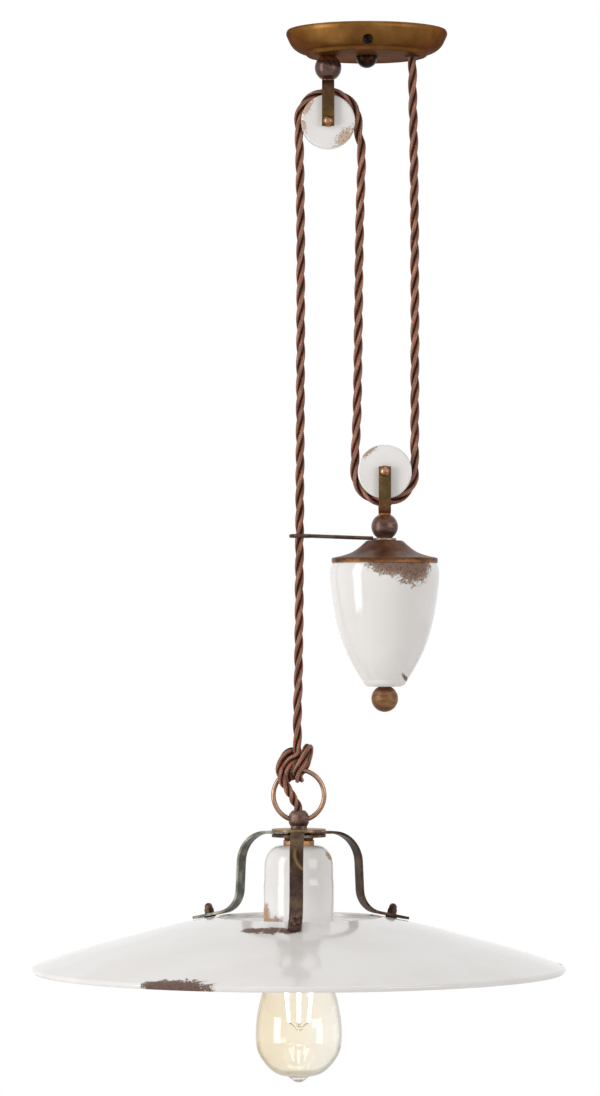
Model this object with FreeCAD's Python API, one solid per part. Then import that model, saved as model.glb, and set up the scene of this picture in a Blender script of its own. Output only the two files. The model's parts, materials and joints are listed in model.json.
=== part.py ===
import FreeCAD, Part
import math
import os

# Rise and fall pendant. Millimetres, +Z up. The origin is the centre of the ceiling canopy, on the
# ceiling plane. +X is to the viewer's right and +Y points away from the viewer.

V = FreeCAD.Vector
UP = V(0, 0, 1)
BACK = V(0, 1, 0)
RIGHT = V(1, 0, 0)

# vertical axes of the three hanging groups
UPPER_X = -29.0
WEIGHT_X = 13.4
LAMP_X = -51.0
CORD_EXIT_X = 34.2

# screws and studs
SCREW_RADIUS = 3.0
SCREW_HEAD_RADIUS = 4.4
SCREW_HEAD_HEIGHT = 2.2
THREAD_GAP = 0.1

# canopy and its bracket
CANOPY_RADIUS = 60.0
CANOPY_WALL = 1.2
CANOPY_FLOOR_Z = -19.0
CANOPY_STEP_RADIUS = 46.0
GROMMET_HOLE_RADIUS = 5.0
STUD_END_Z = -24.0
SIDE_SCREW_Z = -13.3
SIDE_SCREW_RADIUS = 2.0
BRACKET_WIDTH = 16.0
BRACKET_THICKNESS = 2.0
BRACKET_REACH = 42.0
BRACKET_TAB_Z = -16.2
SLOT_CENTRE_Y = 27.0
SLOT_LENGTH = 16.0
SLOT_WIDTH = 5.2

# pulleys, forks and their hangers
CORD_DIAMETER = 6.3
WRAP_RADIUS = 22.5
PULLEY_RADIUS = 20.3
PULLEY_HALF_WIDTH = 6.4
GROOVE_RADIUS = 3.5
UPPER_AXLE_Z = -68.5
LOWER_AXLE_Z = -331.4
AXLE_RADIUS = 2.5
AXLE_HEAD_RADIUS = 3.9
AXLE_DOME_HEIGHT = 2.9
BUSH_RADIUS = 4.5
FORK_WIDTH = 9.2
FORK_THICKNESS = 2.0
FORK_HALF_GAP = 8.0
FORK_LEG_PAST_AXLE = 3.9
FORK_BASE_FROM_AXLE = 31.0
BALL_RADIUS = 10.0
BALL_NECK_RADIUS = 4.6
UPPER_BALL_Z = -27.7

# counterweight
WEIGHT_BALL_Z = -372.5
WEIGHT_WASHER_Z = -381.0
WEIGHT_WASHER_RADIUS = 8.7
CAP_TOP_Z = -382.8
CAP_RIM_Z = -399.5
CAP_WALL = 1.6
SHELL_TOP_Z = -399.5
SHELL_BOTTOM_Z = -492.4
SHELL_WALL = 4.5
FOOT_THICKNESS = 6.0
ROD_END_Z = -498.0
FINIAL_Z = -501.4
ARM_DIAMETER = 2.9
EYELET_Z = -379.5
EYELET_RADIUS = 7.7

# suspension ring and the top of the lamp
RING_Z = -573.8
RING_RADIUS = 19.0
RING_WIRE_RADIUS = 1.75
RING_END_REACH = 4.4
HEAD_BALL_Z = -591.7
HEAD_BALL_RADIUS = 8.0
RING_HOLE_RADIUS = 2.8
CORD_BORE_RADIUS = 3.8
TUBE_RADIUS = 5.0
TUBE_BORE_RADIUS = 3.6
DISC_RADIUS = 20.25
TOP_DISC_Z = -599.0
DISC_THICKNESS = 2.0
STRAP_WIDTH = 10.1
STRAP_THICKNESS = 2.0
STRAP_Z = -602.0
STRAP_START = 6.6
STRAP_AZIMUTHS = {"strap_front": -92, "strap_right": 28, "strap_left": 148}
RIVET_REACH = 13.5
RIVET_RADIUS = 1.6

# lampholder, shade and its fixings
CUP_TOP_Z = -610.9
CUP_BOTTOM_Z = -676.0
CUP_RADIUS = 26.4
CUP_WALL = 4.0
HOLDER_RADIUS = 20.6
HOLDER_TOP_Z = -617.5
HOLDER_BOTTOM_Z = -665.0
WELL_TOP_Z = -641.0
SOCKET_RADIUS = 13.5
SHADE_RADIUS = 200.0
SHADE_OPENING = 61.0
SHADE_WALL = 4.4
SHADE_SLOPE = 11.5
FOOT_REACH = 79.5
FOOT_Z = -665.75

# bulb
BULB_TOP_Z = -646.0
BULB_CAP_RADIUS = 13.0
CAP_LOWER_Z = -671.2
GLASS_WALL = 1.0
FILAMENT_COUNT = 6


def profile(start, *steps):
    """Edges of a closed outline in the XZ plane, from (r, z) points.

    A step is the next corner, a pair (through, to) for an arc, or a list for a smooth curve.
    """
    edges = []
    here = V(start[0], 0, start[1])
    for step in steps:
        if isinstance(step, list):
            through = [V(r, 0, z) for r, z in step]
            curve = Part.BSplineCurve()
            curve.interpolate([here] + through)
            there = through[-1]
        elif isinstance(step[0], tuple):
            middle, there = [V(r, 0, z) for r, z in step]
            curve = Part.Arc(here, middle, there)
        else:
            there = V(step[0], 0, step[1])
            curve = Part.LineSegment(here, there)
        edges.append(curve.toShape())
        here = there
    edges.append(Part.LineSegment(here, V(start[0], 0, start[1])).toShape())
    return edges


def dome_shoulder(radius, height):
    """The (r, drop) point half way along a dome's arc, from its top to its edge."""
    ball = (radius ** 2 + height ** 2) / (2 * height)
    half = math.acos(1 - height / ball) / 2
    return ball * math.sin(half), ball * (1 - math.cos(half))


def turned(edges, x):
    """The outline turned into a solid about the vertical axis at x."""
    solid = Part.Face(Part.Wire(edges)).revolve(V(), UP, 360)
    solid.translate(V(x, 0, 0))
    return solid


def inset(points, depth):
    """The (r, z) points moved by depth to the right of the way they run."""
    moved = []
    for i, (r, z) in enumerate(points):
        before = points[max(i - 1, 0)]
        after = points[min(i + 1, len(points) - 1)]
        dr, dz = after[0] - before[0], after[1] - before[1]
        size = math.hypot(dr, dz)
        moved.append((r + depth * dz / size, z - depth * dr / size))
    return moved


def rod(x, y, top_z, bottom_z, radius):
    return Part.makeCylinder(radius, top_z - bottom_z, V(x, y, bottom_z))


def ring(x, top_z, bottom_z, radius, bore):
    return rod(x, 0, top_z, bottom_z, radius).cut(rod(x, 0, top_z, bottom_z, bore))


def hexagon(x, top_z, bottom_z, across_flats, bore):
    """A hexagonal nut with two of its flats facing the front and back."""
    reach = across_flats / math.sqrt(3)
    corners = [V(reach, 0, 0)]
    for i in range(1, 7):
        angle = math.radians(60 * i)
        corners.append(V(reach * math.cos(angle), reach * math.sin(angle), 0))
    body = Part.Face(Part.makePolygon(corners)).extrude(UP * (top_z - bottom_z))
    body.translate(V(x, 0, bottom_z))
    return body.cut(rod(x, 0, top_z, bottom_z, bore))


def bent_path(points, radii):
    """Straight edges through the points, with a tangent arc of the given radius at each inner one."""
    edges = []
    here = points[0]
    for i in range(1, len(points) - 1):
        into = (points[i] - points[i - 1]).normalize()
        out = (points[i + 1] - points[i]).normalize()
        half_turn = into.getAngle(out) / 2
        reach = radii[i - 1] * math.tan(half_turn)
        begin = points[i] - into * reach
        end = points[i] + out * reach
        inward = (out - into).normalize()
        apex = points[i] + inward * (radii[i - 1] / math.cos(half_turn) - radii[i - 1])
        if here.distanceToPoint(begin) > 1e-4:
            edges.append(Part.LineSegment(here, begin).toShape())
        edges.append(Part.Arc(begin, apex, end).toShape())
        here = end
    if here.distanceToPoint(points[-1]) > 1e-4:
        edges.append(Part.LineSegment(here, points[-1]).toShape())
    return edges


def bent_strip(points, radii, thickness, width, across):
    """A flat strip bent along a route, with the given unit vector across its width."""
    sides = []
    for side in (1, -1):
        offset = side * thickness / 2
        runs = [(b - a).normalize() for a, b in zip(points, points[1:])]
        normals = [across.cross(run) for run in runs]
        moved = [points[0] + normals[0] * offset]
        bends = []
        for i, radius in enumerate(radii):
            both = normals[i] + normals[i + 1]
            moved.append(points[i + 1] + both * (offset * 2 / both.dot(both)))
            towards = 1 if normals[i].dot(runs[i + 1]) > 0 else -1
            bends.append(radius - towards * offset)
        moved.append(points[-1] + normals[-1] * offset)
        sides.append((moved, bends))
    (near, near_bends), (far, far_bends) = sides
    edges = bent_path(near, near_bends)
    edges.append(Part.LineSegment(near[-1], far[-1]).toShape())
    edges += bent_path(far[::-1], far_bends[::-1])
    edges.append(Part.LineSegment(far[0], near[0]).toShape())
    strip = Part.Face(Part.Wire(Part.__sortEdges__(edges))).extrude(across * width)
    strip.translate(across * (-width / 2))
    return strip


def free_radii(points):
    """For a cord: each arc as large as its two runs allow."""
    radii = []
    for a, b, c in zip(points, points[1:], points[2:]):
        half_turn = (b - a).getAngle(c - b) / 2
        radii.append(0.45 * min(a.distanceToPoint(b), b.distanceToPoint(c)) / math.tan(half_turn))
    return radii


def tube(name, points, radii, diameter):
    """A round bar swept along the route, with its radii and its volume printed."""
    wire = Part.Wire(bent_path(points, radii))
    start = (points[1] - points[0]).normalize()
    section = Part.Wire(Part.Circle(points[0], start, diameter / 2).toShape())
    solid = wire.makePipeShell([section], True, False)
    expected = math.pi * diameter ** 2 / 4 * wire.Length
    print(name, "length", round(wire.Length, 1), "radii", [round(r, 1) for r in radii],
          "volume over section times length", round(solid.Volume / expected, 4))
    return solid


def straight_cord(name, top, bottom):
    """A taut stretch, with level ends that meet the round stretches face to face."""
    section = Part.Face(Part.Wire(Part.Circle(top, UP, CORD_DIAMETER / 2).toShape()))
    print(name, "length", round(top.distanceToPoint(bottom), 1))
    return section.extrude(bottom - top)


# ---------------------------------------------------------------- ceiling

def ceiling_bracket():
    """A strip along Y whose ends turn down and take the canopy's side screws."""
    middle_z = -BRACKET_THICKNESS / 2
    route = [V(0, -BRACKET_REACH, BRACKET_TAB_Z), V(0, -BRACKET_REACH, middle_z),
             V(0, BRACKET_REACH, middle_z), V(0, BRACKET_REACH, BRACKET_TAB_Z)]
    strip = bent_strip(route, [3.0, 3.0], BRACKET_THICKNESS, BRACKET_WIDTH, RIGHT)
    strip = strip.cut(rod(0, 0, 0, -BRACKET_THICKNESS, SCREW_RADIUS + THREAD_GAP))
    half = (SLOT_LENGTH - SLOT_WIDTH) / 2
    for side in (-1, 1):
        centre = side * SLOT_CENTRE_Y
        for end in (-half, half):
            strip = strip.cut(rod(0, centre + end, 0, -BRACKET_THICKNESS, SLOT_WIDTH / 2))
        corner = V(-SLOT_WIDTH / 2, centre - half, -BRACKET_THICKNESS)
        strip = strip.cut(Part.makeBox(SLOT_WIDTH, 2 * half, BRACKET_THICKNESS, corner))
    tapped = Part.makeCylinder(SIDE_SCREW_RADIUS + THREAD_GAP, 120, V(0, -60, SIDE_SCREW_Z), BACK)
    return strip.cut(tapped)


def canopy():
    """A pressed steel dish with a rolled lip, a round side and a stepped flat floor."""
    lip = CANOPY_RADIUS
    side = [(lip, -0.6), (lip + 0.5, -2.4), (59.3, -6.0), (57.2, -10.3), (53.4, -14.3), (48.6, -16.6)]
    bend = CANOPY_STEP_RADIUS
    step = [(bend + 0.4, -17.0), (bend - 0.8, -18.6), (bend - 3.6, CANOPY_FLOOR_Z)]
    inner_side = inset(side, CANOPY_WALL)
    inner_floor_z = CANOPY_FLOOR_Z + CANOPY_WALL
    edges = profile((0, CANOPY_FLOOR_Z), step[-1], [step[1], step[0], side[-1]],
                    side[-2::-1], (lip - 0.4, 0), (lip - CANOPY_WALL, 0), inner_side[0],
                    inner_side[1:], [(bend - 0.6, -15.9), (bend - 4.0, inner_floor_z)],
                    (0, inner_floor_z))
    dish = turned(edges, 0)
    floor_holes = [(0, SCREW_RADIUS + THREAD_GAP), (UPPER_X, SCREW_RADIUS + THREAD_GAP),
                   (CORD_EXIT_X, GROMMET_HOLE_RADIUS)]
    for x, radius in floor_holes:
        dish = dish.cut(rod(x, 0, -16, -20, radius))
    return dish.cut(Part.makeCylinder(2.3, 140, V(0, -70, SIDE_SCREW_Z), BACK))


def canopy_side_screws():
    """Two domed slotted screws, front and back, through the dish into the bracket's tabs."""
    wall = canopy()
    screws = []
    for side in (-1, 1):
        start = V(0, side * 39, SIDE_SCREW_Z)
        shank = Part.makeCylinder(SIDE_SCREW_RADIUS, 19.0, start, BACK * side)
        head = Part.makeCylinder(3.7, 2.9, V(0, side * 56.6, SIDE_SCREW_Z), BACK * side)
        dome = Part.makeSphere(4.6, V(0, side * 55.0, SIDE_SCREW_Z))
        slot = Part.makeBox(8, 1.0, 1.0, V(-4, side * 59.1 - 0.5, SIDE_SCREW_Z - 0.5))
        seated = head.common(dome).cut(wall).cut(slot)
        screws.append(shank.fuse(seated).removeSplitter())
    return Part.makeCompound(screws)


def centre_stud():
    return rod(0, 0, 0, STUD_END_Z, SCREW_RADIUS)


def centre_ball_nut():
    """A half ball that draws the canopy up on the stud."""
    ball = Part.makeSphere(7.9, V(0, 0, -20.0))
    ball = ball.common(rod(0, 0, CANOPY_FLOOR_Z, -30, 12))
    return ball.cut(rod(0, 0, CANOPY_FLOOR_Z, STUD_END_Z - 0.4, SCREW_RADIUS + THREAD_GAP))


def cord_grommet():
    """A rubber bush with a flange on each side of the canopy floor."""
    bore = CORD_DIAMETER / 2 + 0.2
    top = CANOPY_FLOOR_Z + CANOPY_WALL
    waist = GROMMET_HOLE_RADIUS - 0.1
    edges = profile((bore, CANOPY_FLOOR_Z - 0.8), (5.7, CANOPY_FLOOR_Z - 0.8),
                    (5.7, CANOPY_FLOOR_Z), (waist, CANOPY_FLOOR_Z), (waist, top), (5.9, top),
                    (5.9, top + 1.0), (bore, top + 1.0))
    return turned(edges, CORD_EXIT_X)


def cord_clamp():
    """A nylon block above the grommet that grips the cord and takes its pull."""
    block = Part.makeBox(13, 14, 6.2, V(CORD_EXIT_X - 6.5, -7, -16.7))
    return block.cut(rod(CORD_EXIT_X, 0, -10, -17, CORD_DIAMETER / 2 + THREAD_GAP))


def terminal_block():
    """A three-way connector on the canopy floor, with a wire hole and a screw well for each pole."""
    block = Part.makeBox(24, 13, 10, V(4, 16, -17.6))
    for pole in range(3):
        x = 8 + 8 * pole
        block = block.cut(Part.makeCylinder(1.6, 20, V(x, 14, -13.6), BACK))
        block = block.cut(rod(x, 22.5, -7, -13.6, 1.8))
    return block


# ---------------------------------------------------------------- pulleys

def hub_x(level):
    return {"upper": UPPER_X, "lower": WEIGHT_X}[level]


def hub_z(level):
    return {"upper": UPPER_AXLE_Z, "lower": LOWER_AXLE_Z}[level]


def about_axle(edges, level):
    """An outline of (r, y) points turned about the pulley's axle."""
    solid = Part.Face(Part.Wire(edges)).revolve(V(), UP, 360)
    solid.rotate(V(), RIGHT, -90)
    solid.translate(V(hub_x(level), 0, hub_z(level)))
    return solid


def pulley(level):
    """A glazed disc with a shallow round groove that the cord sits in."""
    y = PULLEY_HALF_WIDTH
    round_r = 1.5
    lip = math.sqrt(GROOVE_RADIUS ** 2 - (WRAP_RADIUS - PULLEY_RADIUS) ** 2)
    bottom = WRAP_RADIUS - GROOVE_RADIUS
    rim = PULLEY_RADIUS
    corner = round_r * (1 - math.sqrt(0.5))
    edges = profile((BUSH_RADIUS, -y), (rim - round_r, -y),
                    ((rim - corner, -y + corner), (rim, -y + round_r)),
                    (rim, -lip), ((bottom, 0), (rim, lip)), (rim, y - round_r),
                    ((rim - corner, y - corner), (rim - round_r, y)), (BUSH_RADIUS, y))
    return about_axle(edges, level)


def pulley_bush(level):
    """A brass sleeve that turns on the axle and spaces the disc from the fork."""
    y = PULLEY_HALF_WIDTH + 1.2
    bore = AXLE_RADIUS + 0.06
    edges = profile((bore, -y), (BUSH_RADIUS, -y), (BUSH_RADIUS, y), (bore, y))
    return about_axle(edges, level)


def axle(level):
    """A rivet through both legs of the fork, with a dome at each end."""
    leg = FORK_HALF_GAP + FORK_THICKNESS
    end = leg + AXLE_DOME_HEIGHT
    r, drop = dome_shoulder(AXLE_HEAD_RADIUS, AXLE_DOME_HEIGHT)
    edges = profile((0, -end), ((r, drop - end), (AXLE_HEAD_RADIUS, -leg)), (AXLE_RADIUS, -leg),
                    (AXLE_RADIUS, leg), (AXLE_HEAD_RADIUS, leg), ((r, end - drop), (0, end)))
    return about_axle(edges, level)


def fork(level):
    """A strap bent to a U: base towards the ball, legs past the axle."""
    towards_ball = 1 if level == "upper" else -1
    y = FORK_HALF_GAP + FORK_THICKNESS / 2
    base = hub_z(level) + towards_ball * (FORK_BASE_FROM_AXLE - FORK_THICKNESS / 2)
    tip = hub_z(level) - towards_ball * FORK_LEG_PAST_AXLE
    x = hub_x(level)
    route = [V(x, -y, tip), V(x, -y, base), V(x, y, base), V(x, y, tip)]
    strap = bent_strip(route, [4.0, 4.0], FORK_THICKNESS, FORK_WIDTH, RIGHT)
    hole = Part.makeCylinder(AXLE_RADIUS + 0.03, 40, V(x, -20, hub_z(level)), BACK)
    strap = strap.cut(hole)
    return strap.cut(rod(x, 0, base + 3, base - 3, SCREW_RADIUS + THREAD_GAP))


# ---------------------------------------------------------------- upper hanger

def upper_ball():
    """A turned ball between canopy and fork, with a short neck at the fork."""
    fork_top = UPPER_AXLE_Z + FORK_BASE_FROM_AXLE
    ball = Part.makeSphere(BALL_RADIUS, V(UPPER_X, 0, UPPER_BALL_Z))
    ball = ball.fuse(rod(UPPER_X, 0, UPPER_BALL_Z, fork_top, BALL_NECK_RADIUS))
    ball = ball.common(rod(UPPER_X, 0, CANOPY_FLOOR_Z, fork_top, 12))
    return ball.cut(rod(UPPER_X, 0, -15, -40, SCREW_RADIUS + THREAD_GAP))


def upper_hanger_screw():
    """From a low head inside the fork, up through ball and canopy floor."""
    seat = UPPER_AXLE_Z + FORK_BASE_FROM_AXLE - FORK_THICKNESS
    head = rod(UPPER_X, 0, seat, seat - SCREW_HEAD_HEIGHT, SCREW_HEAD_RADIUS)
    return head.fuse(rod(UPPER_X, 0, -11.5, seat - 1, SCREW_RADIUS)).removeSplitter()


def upper_hanger_nut():
    return hexagon(UPPER_X, -12.6, CANOPY_FLOOR_Z + CANOPY_WALL, 10, SCREW_RADIUS + THREAD_GAP)


# ---------------------------------------------------------------- counterweight

def weight_ball():
    """The same ball upside down, its neck under the lower fork."""
    fork_bottom = LOWER_AXLE_Z - FORK_BASE_FROM_AXLE
    ball = Part.makeSphere(BALL_RADIUS, V(WEIGHT_X, 0, WEIGHT_BALL_Z))
    ball = ball.fuse(rod(WEIGHT_X, 0, fork_bottom, WEIGHT_BALL_Z, BALL_NECK_RADIUS))
    ball = ball.common(rod(WEIGHT_X, 0, fork_bottom, WEIGHT_WASHER_Z, 12))
    return ball.cut(rod(WEIGHT_X, 0, -360, -385, SCREW_RADIUS + THREAD_GAP))


def weight_washer():
    return ring(WEIGHT_X, WEIGHT_WASHER_Z, CAP_TOP_Z, WEIGHT_WASHER_RADIUS, SCREW_RADIUS + THREAD_GAP)


def tie_rod():
    """From a low head inside the lower fork, down through the whole weight into the finial."""
    seat = LOWER_AXLE_Z - FORK_BASE_FROM_AXLE + FORK_THICKNESS
    head = rod(WEIGHT_X, 0, seat + SCREW_HEAD_HEIGHT, seat, SCREW_HEAD_RADIUS)
    return head.fuse(rod(WEIGHT_X, 0, seat + 1, ROD_END_Z, SCREW_RADIUS)).removeSplitter()


def guide_arm():
    """A wire from the washer to an eyelet that runs on the lamp's cord and stops the weight turning."""
    eye_x = LAMP_X + 1.8
    eye = Part.makeTorus(EYELET_RADIUS, ARM_DIAMETER / 2, V(eye_x, 0, EYELET_Z), UP)
    start = V(WEIGHT_X - 6, 0, -381.3)
    end = V(eye_x + EYELET_RADIUS, 0, EYELET_Z)
    wire = Part.makeCylinder(ARM_DIAMETER / 2, start.distanceToPoint(end), start, end - start)
    arm = wire.fuse(eye)
    washer = rod(WEIGHT_X, 0, WEIGHT_WASHER_Z + 3, CAP_TOP_Z - 3, WEIGHT_WASHER_RADIUS + 0.02)
    return arm.cut(washer)


def weight_cap():
    """A spun bell-shaped cover whose lip sits on the shell."""
    bell = [(13.7, CAP_TOP_Z - 0.4), (18.5, -387.4), (23.2, -390.9), (28.5, -393.2), (34.8, -394.9),
            (39.0, -395.8)]
    under = inset(bell, CAP_WALL)
    bore = SCREW_RADIUS + THREAD_GAP
    edges = profile((bore, CAP_TOP_Z), (12.4, CAP_TOP_Z), bell[0], bell[1:], (39.8, -396.4),
                    (39.8, CAP_RIM_Z), (37.4, CAP_RIM_Z), under[-1], under[-2::-1],
                    (bore, under[0][1]))
    return turned(edges, WEIGHT_X)


def shell_side():
    """Outside of the weight from under the cap down to the rounded foot."""
    return [(39.6, SHELL_TOP_Z - 0.8), (40.9, -405.5), (40.5, -416), (37.9, -435), (32.3, -457.5),
            (25.9, -472.5), (16.9, -487.5)]


def weight_shell():
    """A glazed hollow body, open at the top, with a hole for the rod in its foot."""
    side = shell_side()
    inner = inset(side, SHELL_WALL)
    inner[0] = (inner[0][0], SHELL_TOP_Z)
    inside_z = SHELL_BOTTOM_Z + FOOT_THICKNESS
    inner[-1] = (12.0, inside_z)
    bore = SCREW_RADIUS + THREAD_GAP
    edges = profile((bore, SHELL_BOTTOM_Z), (12.4, SHELL_BOTTOM_Z), ((14.6, -491.2), side[-1]),
                    side[-2::-1], (39.0, SHELL_TOP_Z), inner[0], inner[1:], (bore, inside_z))
    return turned(edges, WEIGHT_X)


def ballast_core():
    """A cast iron slug that fills the shell, clear of the glazed wall."""
    side = inset(shell_side(), SHELL_WALL + 1.0)
    bore = SCREW_RADIUS + THREAD_GAP
    side[0] = (side[0][0], SHELL_TOP_Z - 0.5)
    rest_z = SHELL_BOTTOM_Z + FOOT_THICKNESS + 0.1
    edges = profile((bore, rest_z), (10.5, rest_z), side[-2], side[-3::-1], (bore, side[0][1]))
    return turned(edges, WEIGHT_X)


def weight_finial():
    ball = Part.makeSphere(BALL_RADIUS, V(WEIGHT_X, 0, FINIAL_Z))
    ball = ball.common(rod(WEIGHT_X, 0, SHELL_BOTTOM_Z, -520, 12))
    return ball.cut(rod(WEIGHT_X, 0, SHELL_BOTTOM_Z, ROD_END_Z - 0.4, SCREW_RADIUS + THREAD_GAP))


# ---------------------------------------------------------------- lamp head

def suspension_ring():
    """An open ring of wire whose two ends sit in the cross holes of the head ball."""
    opening = math.degrees(math.asin(RING_END_REACH / RING_RADIUS))
    circle = Part.Circle(V(LAMP_X, 0, RING_Z - RING_RADIUS), RIGHT, RING_WIRE_RADIUS).toShape()
    section = Part.Face(Part.Wire(circle))
    centre = V(LAMP_X, 0, RING_Z)
    section.rotate(centre, BACK, opening)
    return section.revolve(centre, BACK, 360 - 2 * opening)


def head_ball():
    """A ball on a short neck: cross holes for the ring, a bore for the cord, a thread for the tube."""
    ball = Part.makeSphere(HEAD_BALL_RADIUS, V(LAMP_X, 0, HEAD_BALL_Z))
    ball = ball.fuse(rod(LAMP_X, 0, HEAD_BALL_Z - 4, TOP_DISC_Z, 6.2))
    ball = ball.common(rod(LAMP_X, 0, -580, TOP_DISC_Z, 10))
    cross = Part.makeCylinder(RING_HOLE_RADIUS, 30, V(LAMP_X - 15, 0, HEAD_BALL_Z), RIGHT)
    ball = ball.cut(cross).cut(rod(LAMP_X, 0, -580, -600, CORD_BORE_RADIUS))
    ball = ball.cut(rod(LAMP_X, 0, -595.4, -600, TUBE_RADIUS + 0.05))
    return ball.cut(Part.makeCone(CORD_BORE_RADIUS, 7.0, 6.0, V(LAMP_X, 0, -586.6)))


def threaded_tube():
    return ring(LAMP_X, -595.7, -624.0, TUBE_RADIUS, TUBE_BORE_RADIUS)


def rivet_places():
    places = []
    for azimuth in STRAP_AZIMUTHS.values():
        angle = math.radians(azimuth)
        places.append((LAMP_X + RIVET_REACH * math.cos(angle), RIVET_REACH * math.sin(angle)))
    return places


def clamping_disc(top_z, thickness):
    disc = ring(LAMP_X, top_z, top_z - thickness, DISC_RADIUS, TUBE_RADIUS + 0.05)
    for x, y in rivet_places():
        disc = disc.cut(rod(x, y, top_z, top_z - thickness, RIVET_RADIUS))
    return disc


def strap_rivets():
    top = TOP_DISC_Z
    bottom = STRAP_Z - STRAP_THICKNESS / 2 - DISC_THICKNESS
    return Part.makeCompound([rod(x, y, top, bottom, RIVET_RADIUS) for x, y in rivet_places()])


def strap(name):
    """A flat bar: level under the top disc, down beside the cup, then out along the shade."""
    foot_drop = math.tan(math.radians(SHADE_SLOPE))
    knee = 52.9
    toe = 92.0
    route = [V(LAMP_X + STRAP_START, 0, STRAP_Z), V(LAMP_X + 50.0, 0, STRAP_Z),
             V(LAMP_X + knee, 0, FOOT_Z + (FOOT_REACH - knee) * foot_drop),
             V(LAMP_X + toe, 0, FOOT_Z - (toe - FOOT_REACH) * foot_drop)]
    bar = bent_strip(route, [24.0, 18.6], STRAP_THICKNESS, STRAP_WIDTH, BACK)
    bar = bar.cut(rod(LAMP_X + RIVET_REACH, 0, STRAP_Z + 2, STRAP_Z - 2, RIVET_RADIUS))
    bar = bar.cut(on_foot(Part.makeCylinder(2.1, 6, V(0, 0, -3))))
    bar.rotate(V(LAMP_X, 0, 0), UP, STRAP_AZIMUTHS[name])
    return bar


def on_foot(shape):
    """Moves a shape made about the origin to a strap's foot, square to its slope."""
    shape.rotate(V(), BACK, SHADE_SLOPE)
    shape.translate(V(LAMP_X + FOOT_REACH, 0, FOOT_Z))
    return shape


def at_each_strap(make):
    shapes = []
    for azimuth in STRAP_AZIMUTHS.values():
        shape = on_foot(make())
        shape.rotate(V(LAMP_X, 0, 0), UP, azimuth)
        shapes.append(shape)
    return Part.makeCompound(shapes)


def shade_nut():
    """An acorn nut, from the top of the foot up."""
    nut = hexagon(0, 4.6, 1.0, 7.0, 1.0)
    dome = Part.makeSphere(3.0, V(0, 0, 6.0)).fuse(rod(0, 0, 6.0, 4.6, 3.0))
    nut = nut.fuse(dome).fuse(rod(0, 0, 4.6, 1.0, 2.2)).removeSplitter()
    return nut.cut(rod(0, 0, 6.9, 1.0, 1.95))


def shade_screw():
    """A pan-head screw from under the shade, up into the acorn nut."""
    return rod(0, 0, 6.6, -8.6, 1.9).fuse(rod(0, 0, -8.4, -10.6, 3.8)).removeSplitter()


def shade_washer_pair():
    """Rubber rings above and below the glazed wall."""
    upper = rod(0, 0, -1.0, -2.2, 4.4).cut(rod(0, 0, -1.0, -2.2, 2.1))
    lower = rod(0, 0, -7.1, -8.4, 4.4).cut(rod(0, 0, -7.1, -8.4, 2.1))
    return Part.makeCompound([upper, lower])


def head_locknut():
    bottom = STRAP_Z - STRAP_THICKNESS / 2 - DISC_THICKNESS
    return hexagon(LAMP_X, bottom, bottom - 2.4, 19.0, TUBE_RADIUS + 0.05)


def head_collar():
    return ring(LAMP_X, -607.4, CUP_TOP_Z, 11.6, TUBE_RADIUS + 0.05)


def lampholder_cup():
    """The glazed bell that hides the lampholder."""
    shoulder = [(12.2, CUP_TOP_Z - 0.2), (19.9, -613.4), (24.3, -619.0), (25.9, -628.5),
                (CUP_RADIUS, -640.0)]
    inner = inset(shoulder, CUP_WALL)
    inner_r = CUP_RADIUS - CUP_WALL
    bore = TUBE_RADIUS + 0.3
    edges = profile((bore, CUP_TOP_Z), (11.6, CUP_TOP_Z), shoulder[0], shoulder[1:],
                    (CUP_RADIUS, CUP_BOTTOM_Z + 1.2),
                    ((CUP_RADIUS - 0.4, CUP_BOTTOM_Z + 0.4), (CUP_RADIUS - 1.2, CUP_BOTTOM_Z)),
                    (inner_r, CUP_BOTTOM_Z), (inner_r, inner[-1][1]), inner[-2::-1],
                    (bore, CUP_TOP_Z - CUP_WALL))
    return turned(edges, LAMP_X)


def lampholder_body():
    """The insulating body on the threaded tube, open below for the bulb."""
    well = SOCKET_RADIUS + 1.6
    chamber = 8.5
    chamber_top = HOLDER_TOP_Z - 8.5
    edges = profile((TUBE_RADIUS + 0.05, HOLDER_TOP_Z), (15.5, HOLDER_TOP_Z),
                    (HOLDER_RADIUS, HOLDER_TOP_Z - 5), (HOLDER_RADIUS, HOLDER_BOTTOM_Z),
                    (well, HOLDER_BOTTOM_Z), (well, WELL_TOP_Z), (chamber, WELL_TOP_Z),
                    (chamber, chamber_top), (TUBE_RADIUS + 0.05, chamber_top))
    return turned(edges, LAMP_X)


def socket_shell():
    """The screwed sleeve that grips the bulb's cap, with a flange at its top."""
    outer = SOCKET_RADIUS + 0.6
    top = WELL_TOP_Z - 0.1
    bottom = HOLDER_BOTTOM_Z + 1
    edges = profile((10.0, top), (outer, top), (outer, bottom), (SOCKET_RADIUS, bottom),
                    (SOCKET_RADIUS, top - 0.7), (10.0, top - 0.7))
    return turned(edges, LAMP_X)


def centre_contact():
    """A sprung brass strip that meets the tip of the bulb's cap."""
    route = [V(LAMP_X - 6.5, 0, -636.0), V(LAMP_X - 6.5, 0, -645.3), V(LAMP_X + 4.5, 0, -645.3)]
    return bent_strip(route, [1.5], 0.5, 5.0, BACK)


def lamp_leads():
    """Two insulated cores from the cord's end down the tube into the lampholder."""
    leads = []
    for side in (-1, 1):
        leads.append(rod(LAMP_X, side * 1.7, -595.0, -633.0, 1.3))
    return Part.makeCompound(leads)


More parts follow.
